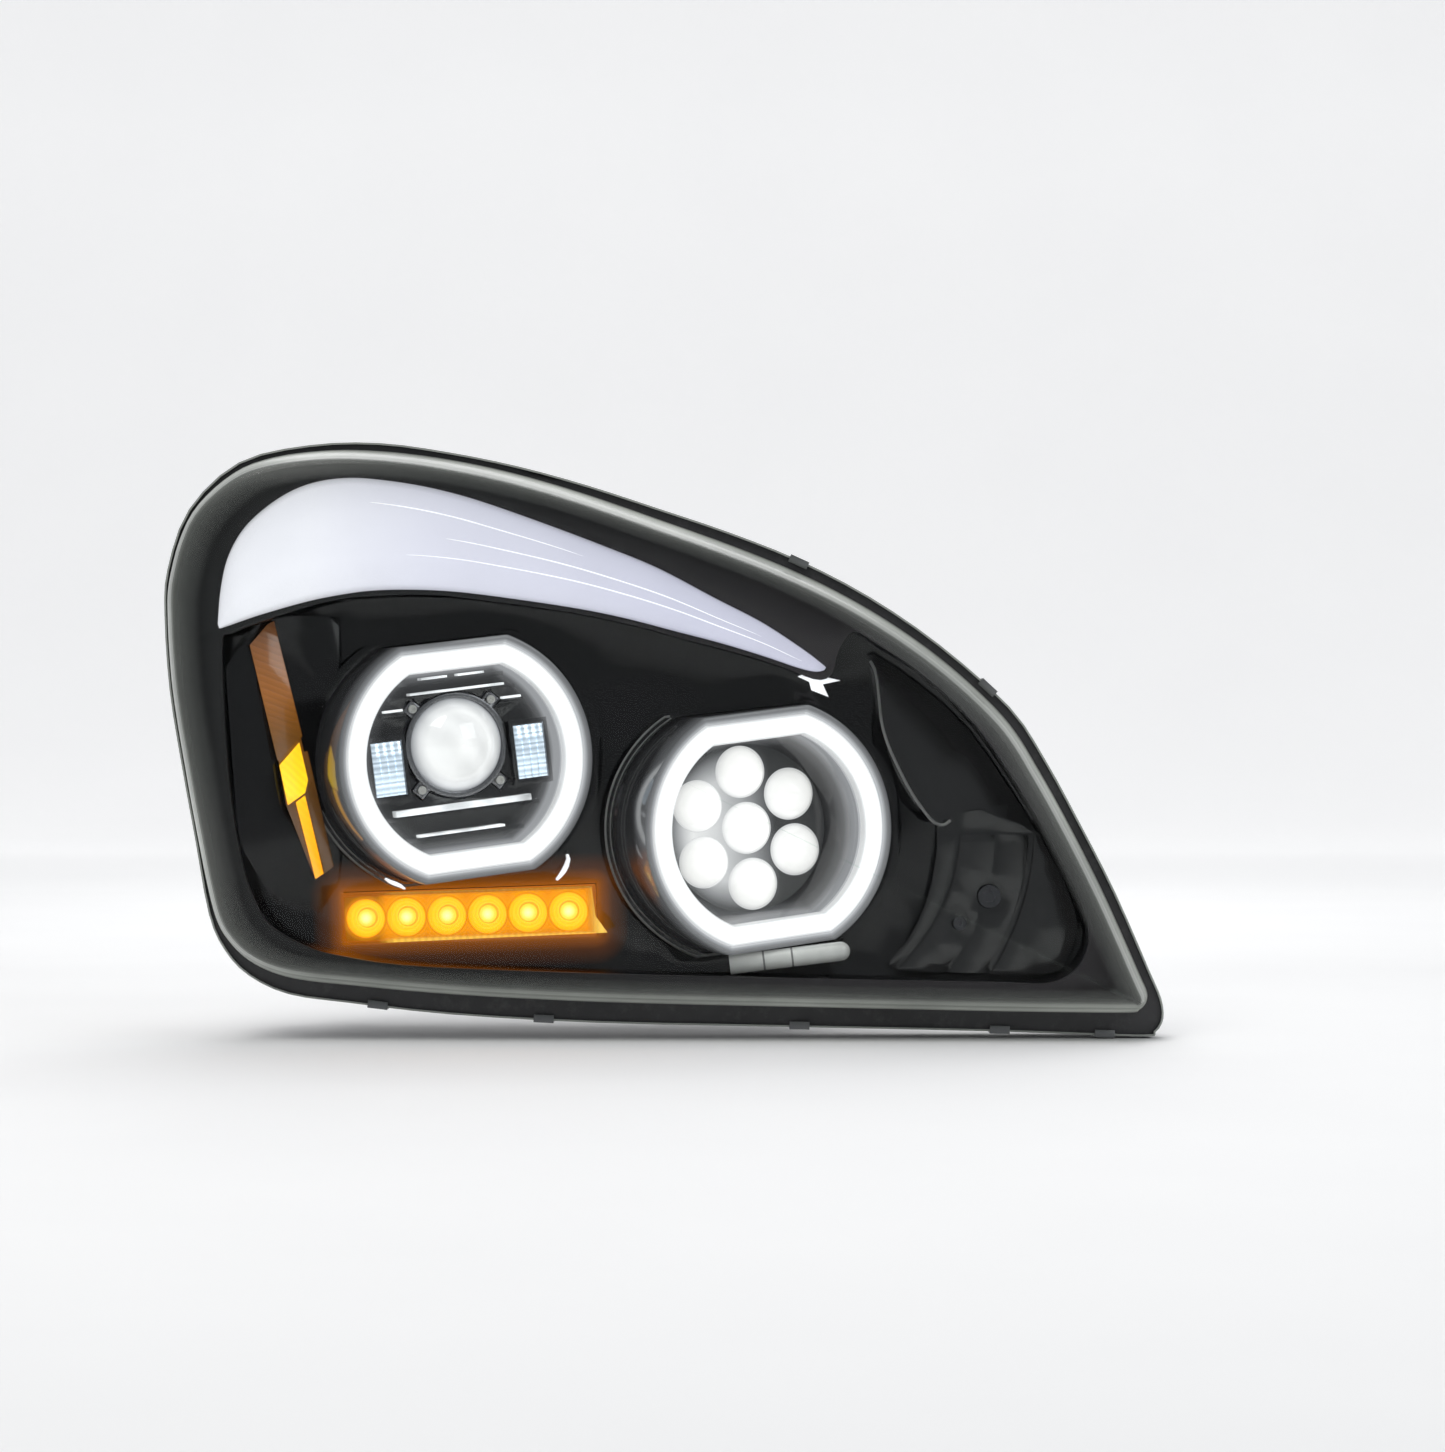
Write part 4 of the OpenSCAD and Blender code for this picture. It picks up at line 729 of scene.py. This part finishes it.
# ------------------------------------------------------------------ halo rings with a rounded front
def halo(name, M, mat, node):
    R, F, W = 85.5, 77.0, 14.0
    prof = []
    for d, y in [(0, 5), (0, -1.5), (0.35, -2.6), (1.0, -3.4), (2.0, -3.9), (3.5, -4), (7.0, -4), (10.5, -4), (12.0, -3.9), (13.0, -3.4), (13.65, -2.6), (14, -1.5), (14, 5)]:
        prof.append((d, y))
    N = 240
    # corner angles are sampled exactly, so that the cuts stay crisp
    c0 = math.asin(F/R)
    angs = sorted(set([round(2*math.pi*i/N, 6) for i in range(N)]+[round(x % (2*math.pi), 6) for x in (c0, math.pi-c0, math.pi+c0, -c0)]))
    rows = []
    for d, y in prof:
        row = []
        for a in angs:
            c, s = math.cos(a), math.sin(a)
            r = R-d
            if abs(s) > 1e-6:
                r = min(r, (F-d)/abs(s))
            row.append(by(M, (r*c, y, r*s)))
        rows.append(row)
    n = len(angs)
    faces = closed_rows(rows)
    faces += [((len(rows)-1)*n+i, (len(rows)-1)*n+(i+1) % n, (i+1) % n, i) for i in range(n)]
    o = obj_from(name, [q for r in rows for q in r], faces, [mat])
    fix_normals(o)
    sharp(o, 40)
    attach(o, "lamp")
    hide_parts(node)
    return o


halo("low_halo_fine", LOW, OVER["low_halo"], "low_halo")
halo("high_halo_fine", HIGH, OVER["high_halo"], "high_halo")

# ------------------------------------------------------------------ painted glints: small bright glowing pieces on the bezel and the low cup
g = G("painted_glint")
g.set(col=g.mix(g.noise(90, 3, 0.6), (0.78, 0.78, 0.80), (0.95, 0.95, 0.96)), metal=0.5, rough=0.22, emit=(0.95, 0.95, 1.0), glow=g.math('ADD', g.math('MULTIPLY', g.noise(200, 2, 0.5), 0.5), 0.45))
M_GLINT = g.m


def facet_glint(name, pts, y, h, mat, body):
    """painted glint built as a small cut-gem shape: outline raised to a ridge along its middle"""
    n = len(pts)
    cx, cz = sum(p[0] for p in pts)/n, sum(p[1] for p in pts)/n
    rows = [[(p[0], y, p[1]) for p in pts], [(p[0], y-h*0.35, p[1]) for p in pts],
            [(p[0]*0.72+cx*0.28, y-h*0.8, p[1]*0.72+cz*0.28) for p in pts], [(p[0]*0.2+cx*0.8, y-h, p[1]*0.2+cz*0.8) for p in pts]]
    o = obj_from(name, [q for r in rows for q in r], closed_rows(rows, True, True), [mat], smooth=False)
    fix_normals(o)
    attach(o, body)
    return o


facet_glint("tip_glint", [(202.4, 54), (209.3, 56.8), (220, 54.2), (232.3, 51.2), (220, 48.6), (224, 39.8), (212, 44.5), (210.5, 50.2)], -116.6, 3.0, M_GLINT, "lamp")


def cup_glint_strip(name, M, pts, y, w):
    """painted glint: thin bright strip on a cup's edge, following local points"""
    n = len(pts)
    rows = []
    for i, p in enumerate(pts):
        q, o = pts[min(i+1, n-1)], pts[max(i-1, 0)]
        tx, tz = q[0]-o[0], q[1]-o[1]
        m = math.hypot(tx, tz)
        nx, nz = -tz/m, tx/m
        f = 0.45+0.55*math.sin(math.pi*i/(n-1))
        rows.append([by(M, (p[0]+nx*a*f*w, y+b, p[1]+nz*a*f*w)) for a, b in ((-1, 3), (-1, 0.5), (-0.6, 0), (0.6, 0), (1, 0.5), (1, 3))])
    o = obj_from(name, [q for r in rows for q in r], closed_rows(rows, True, True), [M_GLINT])
    fix_normals(o)
    sharp(o, 35)
    add_bevel(o, 0.15)
    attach(o, "lamp")
    return o


# painted glints on the low cup's edge, right and left
cup_glint_strip("low_cup_glint_right", LOW, [(56, -93), (59, -90.5), (62, -87.5), (64.5, -84), (66.5, -79.5), (66, -76)], 0.5, 1.7)
cup_glint_strip("low_cup_glint_left", LOW, [(-67, -75), (-64, -77.5), (-60.5, -79.5), (-57, -81.5), (-54, -84)], 0.5, 1.5)

# satin light grey ribs as painted highlights: along the seam of the inboard panel and the collars round the cups
g = G("rib_satin")
g.set(col=g.mix(g.noise(30, 3, 0.6), (0.11, 0.11, 0.11), (0.22, 0.218, 0.21)), rough=g.math('ADD', g.math('MULTIPLY', g.noise(60, 4, 0.7), 0.15), 0.25), nrm=g.bump(g.noise(400, 2, 0.6), 0.08, 0.0002))
M_RIB_HIGHLIGHT = g.m
SEAM = loop_spline([[240, 100], [256, 60], [262, 18], [274, -12], [288, -36], [303, -50], [330, -40], [420, -60], [440, 100]], 8)
pts = [(q[0]+1.0, -89.95, q[1], 1.0) for q in SEAM[6:44] if q[1] < 70]
rb = ribbon("panel_seam_highlight_rib", pts, 1.0, 0.7, M_RIB_HIGHLIGHT, "lamp")
for nm, M, a0, a1 in (("low", LOW, 150, 262), ("high", HIGH, 118, 262)):
    for rr_, tag, wd in ((98.2, "outer", 0.8), (95.0, "inner", 0.45)):
        pts = []
        F = 85.2 if tag == "outer" else 84.6
        for j in range(81):
            a = math.radians(a0+(a1-a0)*j/80)
            c, s_ = math.cos(a), math.sin(a)
            r = min(rr_, F/abs(s_)) if abs(s_) > 1e-6 else rr_
            X_, Z_ = r*c, r*s_
            # the local depth that puts this point on the collar's front plane, world y = -80 mm
            o0, d0 = M @ Vector((X_, 0, Z_)), (M.to_3x3() @ Vector((0, 1, 0)))
            tt = (-80.1-o0.y)/d0.y
            q = o0+d0*tt
            pts.append((q.x, q.y, q.z, 1.0))
        rb = ribbon("%s_collar_highlight_rib_%s" % (nm, tag), pts, wd, 0.5, M_RIB_HIGHLIGHT, "lamp")

# ------------------------------------------------------------------ camera, floor, light
lo, hi = cad_lo, cad_hi
cam = bpy.data.cameras.new("camera")
cam.lens, cam.sensor_width, cam.sensor_fit = 88.5, 36.0, 'AUTO'
cam.clip_start, cam.clip_end = 0.05, 50
co = bpy.data.objects.new("camera", cam)
co.location = (0.1502, -2.60, 0.0196)
co.rotation_euler = (math.radians(90), 0, 0)
bpy.context.scene.collection.objects.link(co)
bpy.context.scene.camera = co

g = G("studio_floor")
X, Y, Z = g.xyz()
# painted light: the floor and sweep glow more and more towards the back, from nothing at y = 0.6 m to 0.42 at 3.6 m
g.set(col=g.mix(g.noise(3, 3, 0.5), (0.74, 0.74, 0.74), (0.79, 0.79, 0.785)), rough=0.75, spec=0.2, nrm=g.bump(g.noise(60, 3, 0.6), 0.03, 0.001), emit=(1.0, 1.0, 1.0), glow=g.span(Y, 600.0, 3600.0, 0.0, 0.42))
M_FLOOR = g.m
fz = lo.z-0.0004
prof = [(-9.0, fz), (4.0, fz)]
for i in range(1, 17):
    a = math.radians(90*i/16)
    prof.append((4.0+1.6*math.sin(a), fz+1.6*(1-math.cos(a))))
prof.append((5.6, 9.0))
verts = [(x*1000, y*1000, z*1000) for y, z in prof for x in (-12.0, 12.3)]
cyc = obj_from("studio_sweep", verts, [(2*i, 2*i+1, 2*i+3, 2*i+2) for i in range(len(prof)-1)], [M_FLOOR])


def area(name, loc, target, size, power, col=(1, 1, 1), size_y=None):
    d = bpy.data.lights.new(name, 'AREA')
    d.energy, d.color, d.size = power, col, size
    if size_y:
        d.shape, d.size_y = 'RECTANGLE', size_y
    o = bpy.data.objects.new(name, d)
    o.location = loc
    o.rotation_euler = (Vector(target)-Vector(loc)).to_track_quat('-Z', 'Y').to_euler()
    o.visible_camera = False
    bpy.context.scene.collection.objects.link(o)
    return o


area("key", (-0.9, -1.5, 2.1), (0.1, -0.05, 0.0), 1.3, 26, (1.0, 0.99, 0.97))
area("fill", (1.9, -1.6, 1.3), (0.15, -0.05, 0.0), 1.5, 12, (0.96, 0.98, 1.0))
area("top", (0.15, 0.5, 2.4), (0.15, 0.1, 0.0), 2.2, 34)
area("back", (0.15, 1.7, 1.6), (0.15, 0.05, 0.0), 1.6, 12)
w = bpy.data.worlds.new("world")
bpy.context.scene.world = w
w.use_nodes = True
bg = w.node_tree.nodes["Background"]
bg.inputs[0].default_value = (0.93, 0.95, 1.0, 1)
bg.inputs[1].default_value = 0.42
bpy.context.scene.view_settings.view_transform = 'Standard'
bpy.context.scene.view_settings.look = 'None'
